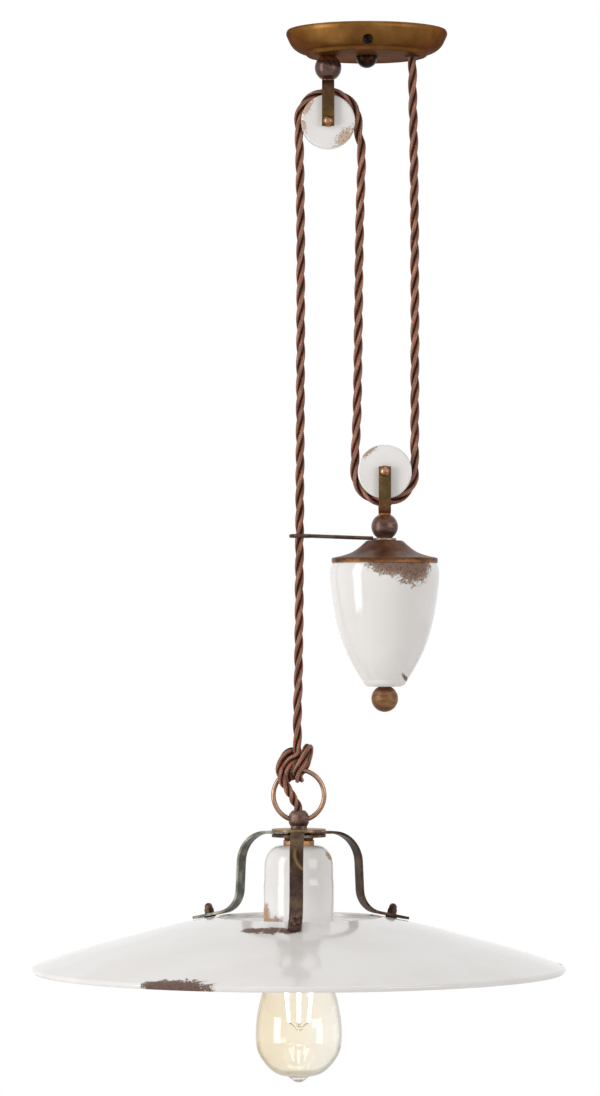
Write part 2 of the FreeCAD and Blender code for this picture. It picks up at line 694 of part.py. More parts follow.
def shade():
    """A wide shallow dish of glazed ceramic with a round opening at the middle."""
    top = [(SHADE_OPENING + 1.4, -664.7), (72.0, -666.7), (83.7, -668.9), (100.0, -672.6),
           (131.0, -681.0), (160.4, -689.1), (185.0, -696.9), (SHADE_RADIUS - 2.4, -701.4)]
    under = inset(top, SHADE_WALL)
    lip = SHADE_OPENING
    rim = SHADE_RADIUS
    edges = profile(top[0], top[1:], ((rim - 0.2, -703.6), (rim - 1.7, -706.0)), under[-1],
                    under[-2::-1], ((lip - 0.6, -668.4), (lip, -665.3)))
    dish = turned(edges, LAMP_X)
    for azimuth in STRAP_AZIMUTHS.values():
        hole = on_foot(Part.makeCylinder(2.5, 12, V(0, 0, -12)))
        hole.rotate(V(LAMP_X, 0, 0), UP, azimuth)
        dish = dish.cut(hole)
    return dish


# ---------------------------------------------------------------- bulb

def bulb_glass():
    """The amber envelope: a neck that swells to the globe and ends in a blown tip."""
    side = [(BULB_CAP_RADIUS, CAP_LOWER_Z), (16.0, -677.0), (20.6, -695.0), (28.1, -723.8),
            (31.9, -744.0), (32.2, -756.0), (30.6, -765.5), (26.6, -772.5), (19.5, -780.0),
            (9.2, -783.7)]
    tip = [(6.2, -785.6), (3.0, -787.9), (0, -788.5)]
    inner = inset(side, GLASS_WALL)
    inner[0] = (side[0][0] - GLASS_WALL, side[0][1])
    edges = profile(side[0], side[1:], tip, (0, inner[-1][1] - 0.4), inner[-1], inner[-2::-1])
    return turned(edges, LAMP_X)


def bulb_cap():
    """A thin screw cap with rounded threads, open at the neck."""
    wall = 0.5
    turns = 6
    pitch = 3.0
    top = BULB_TOP_Z - 6.0
    outer = [(BULB_CAP_RADIUS - 1.0, top)]
    for i in range(turns):
        outer.append((BULB_CAP_RADIUS, top - pitch * (i + 0.5)))
        outer.append((BULB_CAP_RADIUS - 1.0, top - pitch * (i + 1)))
    inner = [(r - wall, z) for r, z in outer]
    edges = profile((5.0, BULB_TOP_Z - 2.2), outer[0], outer[1:], (BULB_CAP_RADIUS, CAP_LOWER_Z),
                    (BULB_CAP_RADIUS - wall, CAP_LOWER_Z), inner[-1], inner[-2::-1],
                    (5.0, BULB_TOP_Z - 2.9))
    return turned(edges, LAMP_X)


def bulb_base_contact():
    """The insulated solder tip on top of the cap."""
    radius, height = 4.9, 2.3
    r, drop = dome_shoulder(radius, height)
    bottom = BULB_TOP_Z - 3.6
    edges = profile((0, BULB_TOP_Z), ((r, BULB_TOP_Z - drop), (radius, BULB_TOP_Z - height)),
                    (radius, bottom), (0, bottom))
    return turned(edges, LAMP_X)


def bulb_stem():
    """The glass stem inside the neck, drawn down to a rod with a hub at its end."""
    flare = [(6.5, -690.0), (4.0, -701.0), (1.6, -706.0)]
    top = CAP_LOWER_Z - 0.8
    edges = profile((0, top), (11.0, top), flare, (1.6, -745.0), ((3.2, -747.5), (1.2, -750.5)),
                    (0, -750.5))
    return turned(edges, LAMP_X)


def filament_ends(i):
    angle = math.radians(360 * (i + 0.5) / FILAMENT_COUNT)
    out = V(math.cos(angle), math.sin(angle), 0)
    top = V(LAMP_X, 0, -703.0) + out * 13.0
    bottom = V(LAMP_X, 0, -743.0) + out * 8.5
    return top, bottom, out


def bulb_filaments():
    """Straight glowing rods set in a cone round the stem."""
    rods = []
    for i in range(FILAMENT_COUNT):
        top, bottom, out = filament_ends(i)
        rods.append(Part.makeCylinder(1.0, top.distanceToPoint(bottom), top, bottom - top))
    return Part.makeCompound(rods)


def bulb_wires():
    """Supports: one wire from the stem to each rod's top, one from the hub to its foot."""
    wires = []
    for i in range(FILAMENT_COUNT):
        top, bottom, out = filament_ends(i)
        upper_start = V(LAMP_X, 0, -697.0) + out * 5.4
        lower_start = V(LAMP_X, 0, -747.0) + out * 3.2
        for start, end in ((upper_start, top + UP * 0.4), (lower_start, bottom - UP * 0.4)):
            wires.append(Part.makeCylinder(0.3, start.distanceToPoint(end), start, end - start))
    return Part.makeCompound(wires)


# ---------------------------------------------------------------- cord

# A quarter of an octagon round a pulley of radius 1, from its side to its top
OCTAGON = math.tan(math.radians(22.5))


def wrap(name, level):
    """Half a turn of cord over the upper pulley or under the lower one."""
    up = 1 if level == "upper" else -1
    r = WRAP_RADIUS
    centre = V(hub_x(level), 0, hub_z(level))
    route = [(-r, 0), (-r, OCTAGON * r), (-OCTAGON * r, r), (OCTAGON * r, r), (r, OCTAGON * r), (r, 0)]
    points = [centre + V(x, 0, up * z) for x, z in route]
    return tube(name, points, [r] * 4, CORD_DIAMETER)


# The knot, as offsets from the top of the ring's wire: right, back, up
KNOT = [(-1.0, 0, 22.0), (-1.0, 0, 14.5), (0.6, -6.2, 6.5), (4.2, -6.6, -7.2), (5.2, 7.0, -7.2),
        (7.4, 7.6, 19.5), (5.2, -11.2, 18.5), (-3.2, -14.2, -7.0), (-3.6, 7.4, -7.2), (-5.2, 9.0, 18.6),
        (-15.2, -4.0, 16.6), (-13.2, -8.8, -3.6), (-9.6, -6.6, -11.0)]
TAIL = [(-9.6, -6.6, -11.0), (-6.0, -4.4, -18.4), (-1.3, -0.9, -25.0), (0, 0, -31.2), (0, 0, -38.5)]


def from_ring_top(offsets):
    top = V(LAMP_X, 0, RING_Z + RING_RADIUS)
    return [top + V(*offset) for offset in offsets]


def cord(name):
    r = WRAP_RADIUS
    left, right = UPPER_X - r, UPPER_X + r
    if name == "cord_canopy_run":
        return straight_cord(name, V(CORD_EXIT_X, 0, -10.0), V(WEIGHT_X + r, 0, LOWER_AXLE_Z))
    if name == "cord_middle_run":
        return straight_cord(name, V(right, 0, UPPER_AXLE_Z), V(WEIGHT_X - r, 0, LOWER_AXLE_Z))
    if name == "cord_lamp_run":
        return straight_cord(name, V(left, 0, UPPER_AXLE_Z), from_ring_top(KNOT)[0])
    if name == "cord_knot":
        points = from_ring_top(KNOT)
    else:
        points = from_ring_top(TAIL)
    return tube(name, points, free_radii(points), CORD_DIAMETER)


def build():
    nodes = {
        "ceiling_bracket": ceiling_bracket(),
        "canopy": canopy(),
        "canopy_side_screws": canopy_side_screws(),
        "centre_stud": centre_stud(),
        "centre_ball_nut": centre_ball_nut(),
        "cord_grommet": cord_grommet(),
        "cord_clamp": cord_clamp(),
        "terminal_block": terminal_block(),
        "upper_hanger_screw": upper_hanger_screw(),
        "upper_hanger_nut": upper_hanger_nut(),
        "upper_ball": upper_ball(),
        "weight_ball": weight_ball(),
        "weight_washer": weight_washer(),
        "guide_arm": guide_arm(),
        "weight_cap": weight_cap(),
        "weight_shell": weight_shell(),
        "ballast_core": ballast_core(),
        "tie_rod": tie_rod(),
        "weight_finial": weight_finial(),
        "suspension_ring": suspension_ring(),
        "head_ball": head_ball(),
        "top_disc": clamping_disc(TOP_DISC_Z, DISC_THICKNESS),
        "lower_disc": clamping_disc(STRAP_Z - STRAP_THICKNESS / 2, DISC_THICKNESS),
        "strap_rivets": strap_rivets(),
        "threaded_tube": threaded_tube(),
        "head_locknut": head_locknut(),
        "head_collar": head_collar(),
        "lampholder_cup": lampholder_cup(),
        "lampholder_body": lampholder_body(),
        "socket_shell": socket_shell(),
        "centre_contact": centre_contact(),
        "lamp_leads": lamp_leads(),
        "shade": shade(),
        "shade_screws": at_each_strap(shade_screw),
        "shade_nuts": at_each_strap(shade_nut),
        "shade_washers": at_each_strap(shade_washer_pair),
        "bulb_glass": bulb_glass(),
        "bulb_cap": bulb_cap(),
        "bulb_base_contact": bulb_base_contact(),
        "bulb_stem": bulb_stem(),
        "bulb_filaments": bulb_filaments(),
        "bulb_wires": bulb_wires(),
    }
    for level in ("upper", "lower"):
        nodes[level + "_pulley"] = pulley(level)
        nodes[level + "_pulley_bush"] = pulley_bush(level)
        nodes[level + "_axle"] = axle(level)
        nodes[level + "_fork"] = fork(level)
        nodes["cord_" + level + "_wrap"] = wrap("cord_" + level + "_wrap", level)
    for name in STRAP_AZIMUTHS:
        nodes[name] = strap(name)
    for name in ("cord_canopy_run", "cord_middle_run", "cord_lamp_run", "cord_knot", "cord_tail"):
        nodes[name] = cord(name)
    return nodes


def main():
    os.makedirs("parts", exist_ok=True)
    for name, shape in build().items():
        for solid in shape.Solids:
            if not solid.isValid() or solid.Volume <= 0:
                print("check", name, solid.isValid(), solid.Volume)
        shape.exportStep(os.path.join("parts", name + ".step"))


main()
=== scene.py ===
import bpy
import bmesh
import json
import math
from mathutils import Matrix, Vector
from mathutils.kdtree import KDTree


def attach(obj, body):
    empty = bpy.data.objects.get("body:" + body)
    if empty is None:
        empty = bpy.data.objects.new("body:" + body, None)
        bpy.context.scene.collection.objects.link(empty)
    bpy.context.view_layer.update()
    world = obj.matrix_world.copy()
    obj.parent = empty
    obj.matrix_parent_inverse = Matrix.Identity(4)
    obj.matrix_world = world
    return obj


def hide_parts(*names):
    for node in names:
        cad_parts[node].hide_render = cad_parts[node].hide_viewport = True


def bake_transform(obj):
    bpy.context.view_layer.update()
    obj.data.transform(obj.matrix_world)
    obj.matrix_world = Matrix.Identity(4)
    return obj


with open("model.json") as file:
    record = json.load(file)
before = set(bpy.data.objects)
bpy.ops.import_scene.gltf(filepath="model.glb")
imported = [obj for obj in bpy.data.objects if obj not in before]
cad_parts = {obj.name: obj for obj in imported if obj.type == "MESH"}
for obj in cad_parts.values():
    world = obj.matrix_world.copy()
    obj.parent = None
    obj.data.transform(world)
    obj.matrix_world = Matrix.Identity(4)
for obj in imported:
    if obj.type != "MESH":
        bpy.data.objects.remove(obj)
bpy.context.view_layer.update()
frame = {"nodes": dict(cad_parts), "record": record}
cadNodes = frame["nodes"]
print("frame loaded,", len(cadNodes), "nodes")

bpy.context.scene.view_settings.view_transform = "Standard"

# All lengths in the dictionaries are millimetres unless they say otherwise.
mm = 0.001


def toLinear(hexColour):
    # sRGB hex as seen on screen, to the linear values the shader works in
    channels = [int(hexColour[i:i + 2], 16) / 255 for i in (1, 3, 5)]
    return [c / 12.92 if c <= 0.04045 else ((c + 0.055) / 1.055) ** 2.4 for c in channels] + [1.0]


def newMaterial(name):
    material = bpy.data.materials.new(name)
    material.use_nodes = True
    material.node_tree.nodes.clear()
    return material


def addNode(material, kind, inputs=None, stops=None, **settings):
    # adds one node, sets it up, and links whatever input is another node's socket
    tree = material.node_tree
    node = tree.nodes.new("ShaderNode" + kind)
    for name, value in settings.items():
        setattr(node, name, value)
    for name, value in (inputs or {}).items():
        if isinstance(value, bpy.types.NodeSocket):
            tree.links.new(value, node.inputs[name])
        else:
            node.inputs[name].default_value = value
    if stops:
        ramp = node.color_ramp
        while len(ramp.elements) < len(stops):
            ramp.elements.new(0.5)
        for element, (place, colour) in zip(ramp.elements, stops):
            element.position = place
            element.color = toLinear(colour) if isinstance(colour, str) else (colour,) * 3 + (1.0,)
    return node


def closeMaterial(material, shader):
    addNode(material, "OutputMaterial", {"Surface": shader.outputs[0]})
    return material


def addToScene(name, data):
    piece = bpy.data.objects.new(name, data)
    bpy.context.scene.collection.objects.link(piece)
    return piece


def dress(material, *names):
    for name in names:
        cadNodes[name].material_slots[0].material = material


# camera, at the height of the weight's middle

cameraLook = {
    "place": (-50.1, -3510.0, -444.0),
    "aimHeight": -388.5,         # height of the picture's middle
    "frameHeight": 822.0,        # what the frame takes in at the lamp's distance
}


def addCamera():
    look = cameraLook
    data = bpy.data.cameras.new("camera")
    data.sensor_fit = "VERTICAL"
    data.sensor_height = 36.0
    camera = addToScene("camera", data)
    camera.location = Vector(look["place"]) * mm
    rise = look["aimHeight"] - look["place"][2]
    distance = -look["place"][1]
    data.lens = data.sensor_height * math.hypot(rise, distance) / look["frameHeight"]
    data.clip_end = 50
    camera.rotation_euler = (math.radians(90) + math.atan2(rise, distance), 0, 0)
    bpy.context.scene.camera = camera


addCamera()

# the room: white for the camera, plain soft light on the object

roomLook = {
    "ambient": 0.42,
    "floorHeight": -1.45,        # metres
    "floorReach": 4.0,           # metres from the floor's middle to its edges
    "floorColour": "#f4f4f4",
    "floorLift": 0.55,           # share of pure white in the floor, the rest is its own shading
    "aim": (-0.03, 0, -0.45),    # metres, the spot that every lamp points at
    # each lamp's place and size in metres, and its watts. The key is a tall strip, which leaves long
    # upright highlights on the glaze
    "lamps": {
        "key": ((-2.2, -1.2, -0.05), (0.9, 2.4), 40.0),
        "fill": ((1.9, -1.6, 0.1), (1.4, 1.4), 19.0),
        "top": ((0.2, 0.5, 2.0), (1.6, 1.6), 17.0),
    },
}


def seenDirectly(material):
    # 1 where the camera, a reflection or the glass looks, 0 where the surface lights something
    paths = addNode(material, "LightPath")
    seen = addNode(material, "Math", {0: paths.outputs["Is Camera Ray"], 1: paths.outputs["Is Glossy Ray"]},
                   operation="MAXIMUM")
    return addNode(material, "Math", {0: seen.outputs[0], 1: paths.outputs["Is Transmission Ray"]},
                   operation="MAXIMUM").outputs[0]


def addRoom():
    look = roomLook
    world = bpy.data.worlds.new("studio")
    bpy.context.scene.world = world
    world.use_nodes = True
    world.node_tree.nodes.clear()
    level = addNode(world, "MapRange", {"Value": seenDirectly(world), "To Min": look["ambient"],
                                        "To Max": 1.0})
    sky = addNode(world, "Background", {"Color": (1, 1, 1, 1), "Strength": level.outputs[0]})
    addNode(world, "OutputWorld", {"Surface": sky.outputs[0]})

    # the floor is lifted part of the way to white and keeps the rest of its shading, with the shadow
    plaster = newMaterial("matt white plaster")
    plain = addNode(plaster, "BsdfDiffuse", {"Color": toLinear(look["floorColour"])})
    white = addNode(plaster, "Emission", {"Color": (1, 1, 1, 1), "Strength": 1.0})
    lift = addNode(plaster, "Math", {0: seenDirectly(plaster), 1: look["floorLift"]}, operation="MULTIPLY")
    closeMaterial(plaster, addNode(plaster, "MixShader", {0: lift.outputs[0], 1: plain.outputs[0],
                                                          2: white.outputs[0]}))
    grid = bmesh.new()
    bmesh.ops.create_grid(grid, x_segments=1, y_segments=1, size=look["floorReach"])
    bmesh.ops.translate(grid, verts=grid.verts, vec=(0, 0, look["floorHeight"]))
    mesh = bpy.data.meshes.new("floor")
    grid.to_mesh(mesh)
    floor = addToScene("floor", mesh)
    mesh.materials.append(plaster)

    for name, (place, size, power) in look["lamps"].items():
        light = bpy.data.lights.new(name, "AREA")
        light.shape = "RECTANGLE"
        light.size, light.size_y = size
        light.energy = power
        lamp = addToScene(name, light)
        lamp.location = place
        towards = Vector(look["aim"]) - Vector(place)
        lamp.rotation_euler = towards.to_track_quat("-Z", "Y").to_euler()


addRoom()
print("camera and room ready")

# the cord: three braided strands laid up into one rope

cordLook = {
    "diameter": 6.3,
    "strands": 3,
    "strandDiameter": 3.25,
    "strandReach": 1.86,         # from the rope's centre to a strand's centre
    # length of one full turn of a strand from each distance along the piece: the strands lie slack in the
    # knot and are twisted up tight in the tail
    "lay": [(0.0, 50.6)],
    "knotLay": [(0.0, 68.0), (168.0, 27.0)],
    "step": 1.6,                 # spacing of the rings along a strand
    "startAngle": 200.0,         # degrees, where the first strand lies at the canopy
    "curveSteps": 24,            # points that Blender draws between two points of a route
    "bevelSteps": 3,             # roundness of a strand: 3 gives it ten sides
}

upperHub = (-29.0, -68.5)
lowerHub = (13.4, -331.4)
wrapRadius = 22.5                # from a hub to the middle of the cord
overUpper = (-51.1, 0, -68.5)    # where the cord leaves the upper pulley for the lamp
knotTop = (-52, 0, -532.8)
ringTop = (-51.0, 0.0, -554.8)
octagon = math.tan(math.radians(22.5))    # half a side of an octagon drawn round a circle of radius 1


def hubRoute(hub, up):
    # an octagon's corners round half a pulley, from its left side to its right
    r = wrapRadius
    corners = [(-r, -octagon * r), (-r, octagon * r), (-octagon * r, r), (octagon * r, r), (r, octagon * r),
               (r, -octagon * r)]
    return [(hub[0] + x, 0, hub[1] + up * z) for x, z in corners]


# the runs stand a little off their pulleys, as a stiff twisted cord does
loopRoute = [(34.2, 0, -10), (34.3, 0, -36), (35.7, 0, -102), (36.2, 0, -220), (36.0, 0, -292)]
loopRoute += hubRoute(lowerHub, -1)[::-1]
loopRoute += [(-7.2, 0, -292), (-6.2, 0, -215), (-5.4, 0, -140), (-3.2, 0, -88)]
loopRoute += hubRoute(upperHub, 1)[::-1]
loopRoute[-1] = overUpper
lampRoute = [overUpper, (-49.8, 0, -104), (-49.4, 0, -210), (-50.3, 0, -360), (-51.0, 0, -480),
             (-52.3, 0, -516), knotTop]
# from the top of the ring's wire: right, back, up. In front: down to the left, then the band that leans
# right, then the long loop at the left that runs into the tail
knotOffsets = [(-1.0, 0, 22.0), (-1.0, -4.0, 15.6), (0.2, -7.6, 10.6), (-6.6, -8.2, 7.2),
               (-10.0, -8.2, -0.6), (-8.0, -3.8, -7.2), (-5.4, 2.6, -5.4), (2.4, 4.8, -1.0), (7.4, 5.0, 7.0),
               (7.8, 2.2, 16.4), (6.6, -10.0, 17.4), (2.0, -12.8, 5.6), (-2.0, -12.4, -3.0),
               (0.2, -3.4, -7.2), (1.2, 8.2, -6.6), (-3.0, 12.8, -1.0), (-4.2, 8.4, 7.0), (-2.6, 4.4, 14.8),
               (-10.0, -4.0, 12.4), (-14.6, -6.4, 3.0), (-12.8, -9.6, -7.0), (-7.6, -8.4, -14.8),
               (-4.0, -3.4, -21.8), (-0.8, -0.6, -27.0), (0, 0, -32.2), (0, 0, -38.5)]
knotRoute = [[a + b for a, b in zip(ringTop, offset)] for offset in knotOffsets]


def centreLine(name, route):
    # the smooth line of a NURBS spline through the route, as Blender draws it
    curve = bpy.data.curves.new(name, "CURVE")
    curve.dimensions = "3D"
    curve.resolution_u = cordLook["curveSteps"]
    spline = curve.splines.new("NURBS")
    spline.points.add(len(route) - 1)
    for point, place in zip(spline.points, route):
        point.co = (*[c * mm for c in place], 1)
    spline.order_u = 3
    spline.use_endpoint_u = True
    guide = addToScene(name, curve)
    bare = bpy.data.meshes.new_from_object(guide)
    line = [vertex.co.copy() for vertex in bare.vertices]
    bpy.data.objects.remove(guide)
    bpy.data.meshes.remove(bare)
    return line


def evenly(line, step):
    # the same line with its points one step apart
    lengths = [0.0]
    for a, b in zip(line, line[1:]):
        lengths.append(lengths[-1] + (b - a).length)
    count = max(2, round(lengths[-1] / step))
    points, i = [], 0
    for k in range(count + 1):
        target = lengths[-1] * k / count
        while i < len(line) - 2 and lengths[i + 1] < target:
            i += 1
        span = lengths[i + 1] - lengths[i]
        points.append(line[i].lerp(line[i + 1], (target - lengths[i]) / span if span else 0))
    return points, lengths[-1]


def strandLines(points, length, lays, angle, side):
    # each strand winds round the centre line, right-handed, carried along without any other twist
    look = cordLook
    lines = [[] for _ in range(look["strands"])]
    step = length / (len(points) - 1)
    turn = angle
    for i, point in enumerate(points):
        ahead = points[min(i + 1, len(points) - 1)] - points[max(i - 1, 0)]
        ahead.normalize()
        side = (side - ahead * side.dot(ahead)).normalized()
        across = ahead.cross(side)
        lay = [turnLength for start, turnLength in lays if i * step >= start * mm][-1]
        turn += 2 * math.pi * step / (lay * mm) if i else 0
        for n, line in enumerate(lines):
            a = turn + 2 * math.pi * n / look["strands"]
            line.append(point + (side * math.cos(a) + across * math.sin(a)) * look["strandReach"] * mm)
    return lines, turn, side


def ropeMesh(name, centre, lines, lengthBefore):
    # every strand is a bevelled curve turned to mesh, with metres along it and turns round it as its UV map
    joined = bmesh.new()
    for line in lines:
        curve = bpy.data.curves.new(name, "CURVE")
        curve.dimensions = "3D"
        curve.bevel_depth = cordLook["strandDiameter"] / 2 * mm
        curve.bevel_resolution = cordLook["bevelSteps"]
        curve.use_fill_caps = True
        spline = curve.splines.new("POLY")
        spline.points.add(len(line) - 1)
        for point, place in zip(spline.points, line):
            point.co = (*place, 1)
        holder = addToScene(name, curve)
        mesh = bpy.data.meshes.new_from_object(holder)
        long = sum((b - a).length for a, b in zip(line, line[1:]))
        for loop in mesh.uv_layers[0].data:
            loop.uv = (loop.uv[0] * long + lengthBefore, loop.uv[1])
        joined.from_mesh(mesh)
        bpy.data.objects.remove(holder)
        bpy.data.meshes.remove(mesh)
    # how far out each vertex lies, 0 at the rope's centre to 1 at its outside, for the painted groove shade
    outward = joined.verts.layers.float.new("outward")
    middles = KDTree(len(centre))
    for i, point in enumerate(centre):
        middles.insert(point, i)
    middles.balance()
    outside = (cordLook["strandReach"] + cordLook["strandDiameter"] / 2) * mm
    for vertex in joined.verts:
        distance = middles.find(vertex.co)[2]
        vertex[outward] = distance / outside
    mesh = bpy.data.meshes.new(name)
    joined.to_mesh(mesh)
    mesh.polygons.foreach_set("use_smooth", [True] * len(mesh.polygons))
    return mesh


braidLook = {
    "yarns": 10,                 # round one strand
    "crossing": 1.4,             # between two crossings of yarns, coarser than real so that they show
    "yarnColours": ("#6c4739", "#906653", "#bd937d"),
    "fuzz": 0.6,                 # single fibres, drawn as grains of this size
    "drift": 12.0,               # patches that are worn paler or dyed unevenly
    "streakLength": 12.0,        # painted sheen along a bundle of yarns
    "streaksRound": 11,          # bundles round one strand
    # painted shade: how dark the grooves are drawn, deep in them and partway out
    "paintedGrooveShadeColours": ("#46352f", "#a08578"),
    "tracer": "#c23b38",
    "tracerTurn": 23.0,          # length in which the tracer runs once round the strand
    "tracerWidth": 0.1,          # share of the way round that it takes up
    "tracerDive": 5.6,           # length from one dive under its neighbours to the next
    "tracerSeen": 0.3,           # share of that length in which it shows
}


def braidedTextile():
    # rayon braid over flex: soft brown-red sheen, fine crossing yarns, a red tracer that shows as flecks
    look = braidLook
    material = newMaterial("braided rayon, brown with red tracer")
    place = addNode(material, "UVMap")
    axes = addNode(material, "SeparateXYZ", {0: place.outputs[0]})
    along, around = axes.outputs[0], axes.outputs[1]
    # two sets of yarns that wind opposite ways
    rise = addNode(material, "Math", {0: along, 1: math.pi / (look["crossing"] * mm)}, operation="MULTIPLY")
    turn = addNode(material, "Math", {0: around, 1: math.pi * look["yarns"]}, operation="MULTIPLY")
    leftLay = addNode(material, "Math", {0: rise.outputs[0], 1: turn.outputs[0]}, operation="ADD")
    rightLay = addNode(material, "Math", {0: rise.outputs[0], 1: turn.outputs[0]}, operation="SUBTRACT")
    left = addNode(material, "Math", {0: leftLay.outputs[0]}, operation="SINE")
    right = addNode(material, "Math", {0: rightLay.outputs[0]}, operation="SINE")
    yarns = addNode(material, "Math", {0: left.outputs[0], 1: right.outputs[0]}, operation="MULTIPLY")
    weave = addNode(material, "MapRange", {"Value": yarns.outputs[0], "From Min": -1.0, "From Max": 1.0})
    solid = addNode(material, "TexCoord").outputs["Object"]
    fuzz = addNode(material, "TexNoise", {"Vector": solid, "Scale": 1 / (look["fuzz"] * mm), "Detail": 3.0})
    tone = addNode(material, "Math", {0: weave.outputs[0], 1: fuzz.outputs[0]}, operation="MULTIPLY")
    yarnColour = addNode(material, "ValToRGB", {0: tone.outputs[0]},
                         stops=list(zip((0.0, 0.25, 0.55), look["yarnColours"])))
    drift = addNode(material, "TexNoise", {"Vector": solid, "Scale": 1 / (look["drift"] * mm),
                                           "Detail": 2.0})
    driftColour = addNode(material, "ValToRGB", {0: drift.outputs[0]}, stops=[(0.35, 0.78), (0.65, 1.16)])
    brown = addNode(material, "Mix", {0: 1.0, 6: yarnColour.outputs[0], 7: driftColour.outputs[0]},
                    data_type="RGBA", blend_type="MULTIPLY")
    # painted sheen: bundles of yarn drawn lighter in streaks along the strand
    stretch = (1 / (look["streakLength"] * mm), look["streaksRound"], 0)
    bundles = addNode(material, "VectorMath", {0: place.outputs[0], 1: stretch}, operation="MULTIPLY")
    streaks = addNode(material, "TexNoise", {"Vector": bundles.outputs[0], "Scale": 1.0, "Detail": 1.0})
    paintedSheenStreaks = addNode(material, "ValToRGB", {0: streaks.outputs[0]},
                           stops=[(0.36, 0.62), (0.64, 1.34)])
    brown = addNode(material, "Mix", {0: 1.0, 6: brown.outputs[2], 7: paintedSheenStreaks.outputs[0]},
                    data_type="RGBA", blend_type="MULTIPLY")
    # painted shade in the grooves between the strands, and a slight painted highlight on their crests
    outward = addNode(material, "Attribute", attribute_name="outward")
    paintedGrooveShade = addNode(material, "ValToRGB", {0: outward.outputs["Fac"]},
                     stops=list(zip((0.45, 0.74, 0.93), (*look["paintedGrooveShadeColours"], 1.1))))
    brown = addNode(material, "Mix", {0: 1.0, 6: brown.outputs[2], 7: paintedGrooveShade.outputs[0]},
                    data_type="RGBA", blend_type="MULTIPLY")
    # the tracer winds round the strand and dives under its neighbours again and again
    trace = addNode(material, "Math", {0: along, 1: 1 / (look["tracerTurn"] * mm)}, operation="MULTIPLY")
    trace = addNode(material, "Math", {0: trace.outputs[0], 1: around}, operation="ADD")
    trace = addNode(material, "Math", {0: trace.outputs[0]}, operation="FRACT")
    trace = addNode(material, "Math", {0: trace.outputs[0], 1: look["tracerWidth"]}, operation="LESS_THAN")
    dash = addNode(material, "Math", {0: along, 1: 1 / (look["tracerDive"] * mm)}, operation="MULTIPLY")
    dash = addNode(material, "Math", {0: dash.outputs[0]}, operation="FRACT")
    dash = addNode(material, "Math", {0: dash.outputs[0], 1: look["tracerSeen"]}, operation="LESS_THAN")
    fleck = addNode(material, "Math", {0: trace.outputs[0], 1: dash.outputs[0]}, operation="MULTIPLY")
    # some flecks are faded or rubbed off
    kept = addNode(material, "MapRange", {"Value": drift.outputs[0], "From Min": 0.4, "From Max": 0.6,
                                          "To Min": 0.25, "To Max": 1.0})
    fleck = addNode(material, "Math", {0: fleck.outputs[0], 1: kept.outputs[0]}, operation="MULTIPLY")
    colour = addNode(material, "Mix", {0: fleck.outputs[0], 6: brown.outputs[2],
                                       7: toLinear(look["tracer"])},
                     data_type="RGBA")
    bump = addNode(material, "Bump", {"Height": weave.outputs[0], "Strength": 0.3, "Distance": 0.2 * mm})
    shader = addNode(material, "BsdfPrincipled",
                     {"Base Color": colour.outputs[2], "Roughness": 0.78, "Specular IOR Level": 0.2,
                      "Sheen Weight": 0.06, "Sheen Roughness": 0.4, "Sheen Tint": toLinear("#c9a898"),
                      "Normal": bump.outputs[0]})
    return closeMaterial(material, shader)


# each piece of the rope: its route, the solids that it stands for, its declared length in metres, how its
# strands lie, where it comes out, and the two bodies that it hangs between with the heights of their hold
cordPieces = {
    "cord_over_pulleys": (
        loopRoute, ["cord_canopy_run", "cord_lower_wrap", "cord_middle_run", "cord_upper_wrap"],
        0.727, "lay", (34.2, 0, -19.8), ("ceiling_set", "counterweight", upperHub[1], lowerHub[1])),
    "cord_to_lamp": (
        lampRoute, ["cord_lamp_run"],
        0.4646, "lay", overUpper, ("ceiling_set", "lamp_hanger", upperHub[1], knotTop[2])),
    "cord_knot_and_tail": (
        knotRoute, ["cord_knot", "cord_tail"],
        0.2135, "knotLay", knotTop, ("lamp_hanger", "lamp_head", -565.8, -586.0)),
}


def addCords():
    textile = braidedTextile()
    angle = math.radians(cordLook["startAngle"])
    side = Vector((1, 0, 0))
    before = 0.0
    for name, (route, solids, length, lay, leaves, (above, below, top, bottom)) in cordPieces.items():
        points, measured = evenly(centreLine(name, route), cordLook["step"] * mm)
        lines, angle, side = strandLines(points, measured, cordLook[lay], angle, side)
        rope = addToScene(name, ropeMesh(name, points, lines, before))
        before += measured
        rope.data.materials.append(textile)
        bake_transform(rope)
        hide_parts(*solids)
        print(name, round(measured * 1000, 1), "mm")


addCords()
print("cords laid up")

# metal pieces whose edges are softened, as filed and polished by hand

softenLook = {
    "seam": 0.002,               # points nearer than this become one
    "flat": 0.3,                 # degrees, faces that turn less than this become one
    "sharp": 35.0,               # degrees, edges that turn more than this are rounded
    "segments": 2,
}
# radius of each piece's edges
softEdges = {
    "strap_front": 0.4, "strap_right": 0.4, "strap_left": 0.4, "upper_fork": 0.35, "lower_fork": 0.35,
    "top_disc": 0.45, "lower_disc": 0.3, "weight_washer": 0.3, "head_collar": 0.4, "head_locknut": 0.3,
}
softened = {}
bodyOf = {name: body for body, names in frame["record"]["behaviour"]["bodies"].items() for name in names}


def soften(name, radius):
    # a merged copy of the CAD piece with rounded edges
    look = softenLook
    sharp = math.radians(look["sharp"])
    shape = bmesh.new()
    shape.from_mesh(cadNodes[name].data)
    bmesh.ops.remove_doubles(shape, verts=shape.verts, dist=look["seam"] * mm)
    bmesh.ops.dissolve_limit(shape, angle_limit=math.radians(look["flat"]), verts=shape.verts,
                             edges=shape.edges)
    for face in shape.faces:
        face.smooth = True
    for edge in shape.edges:
        edge.smooth = edge.is_manifold and edge.calc_face_angle() < sharp
    mesh = bpy.data.meshes.new(name + "_softened")
    shape.to_mesh(mesh)
    piece = addToScene(name + "_softened", mesh)
    rounding = piece.modifiers.new("rounded edges", "BEVEL")
    rounding.limit_method = "ANGLE"
    rounding.angle_limit = sharp
    rounding.width = radius * mm
    rounding.segments = look["segments"]
    rounding.harden_normals = True
    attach(piece, bodyOf[name])
    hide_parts(name)
    softened[name] = piece


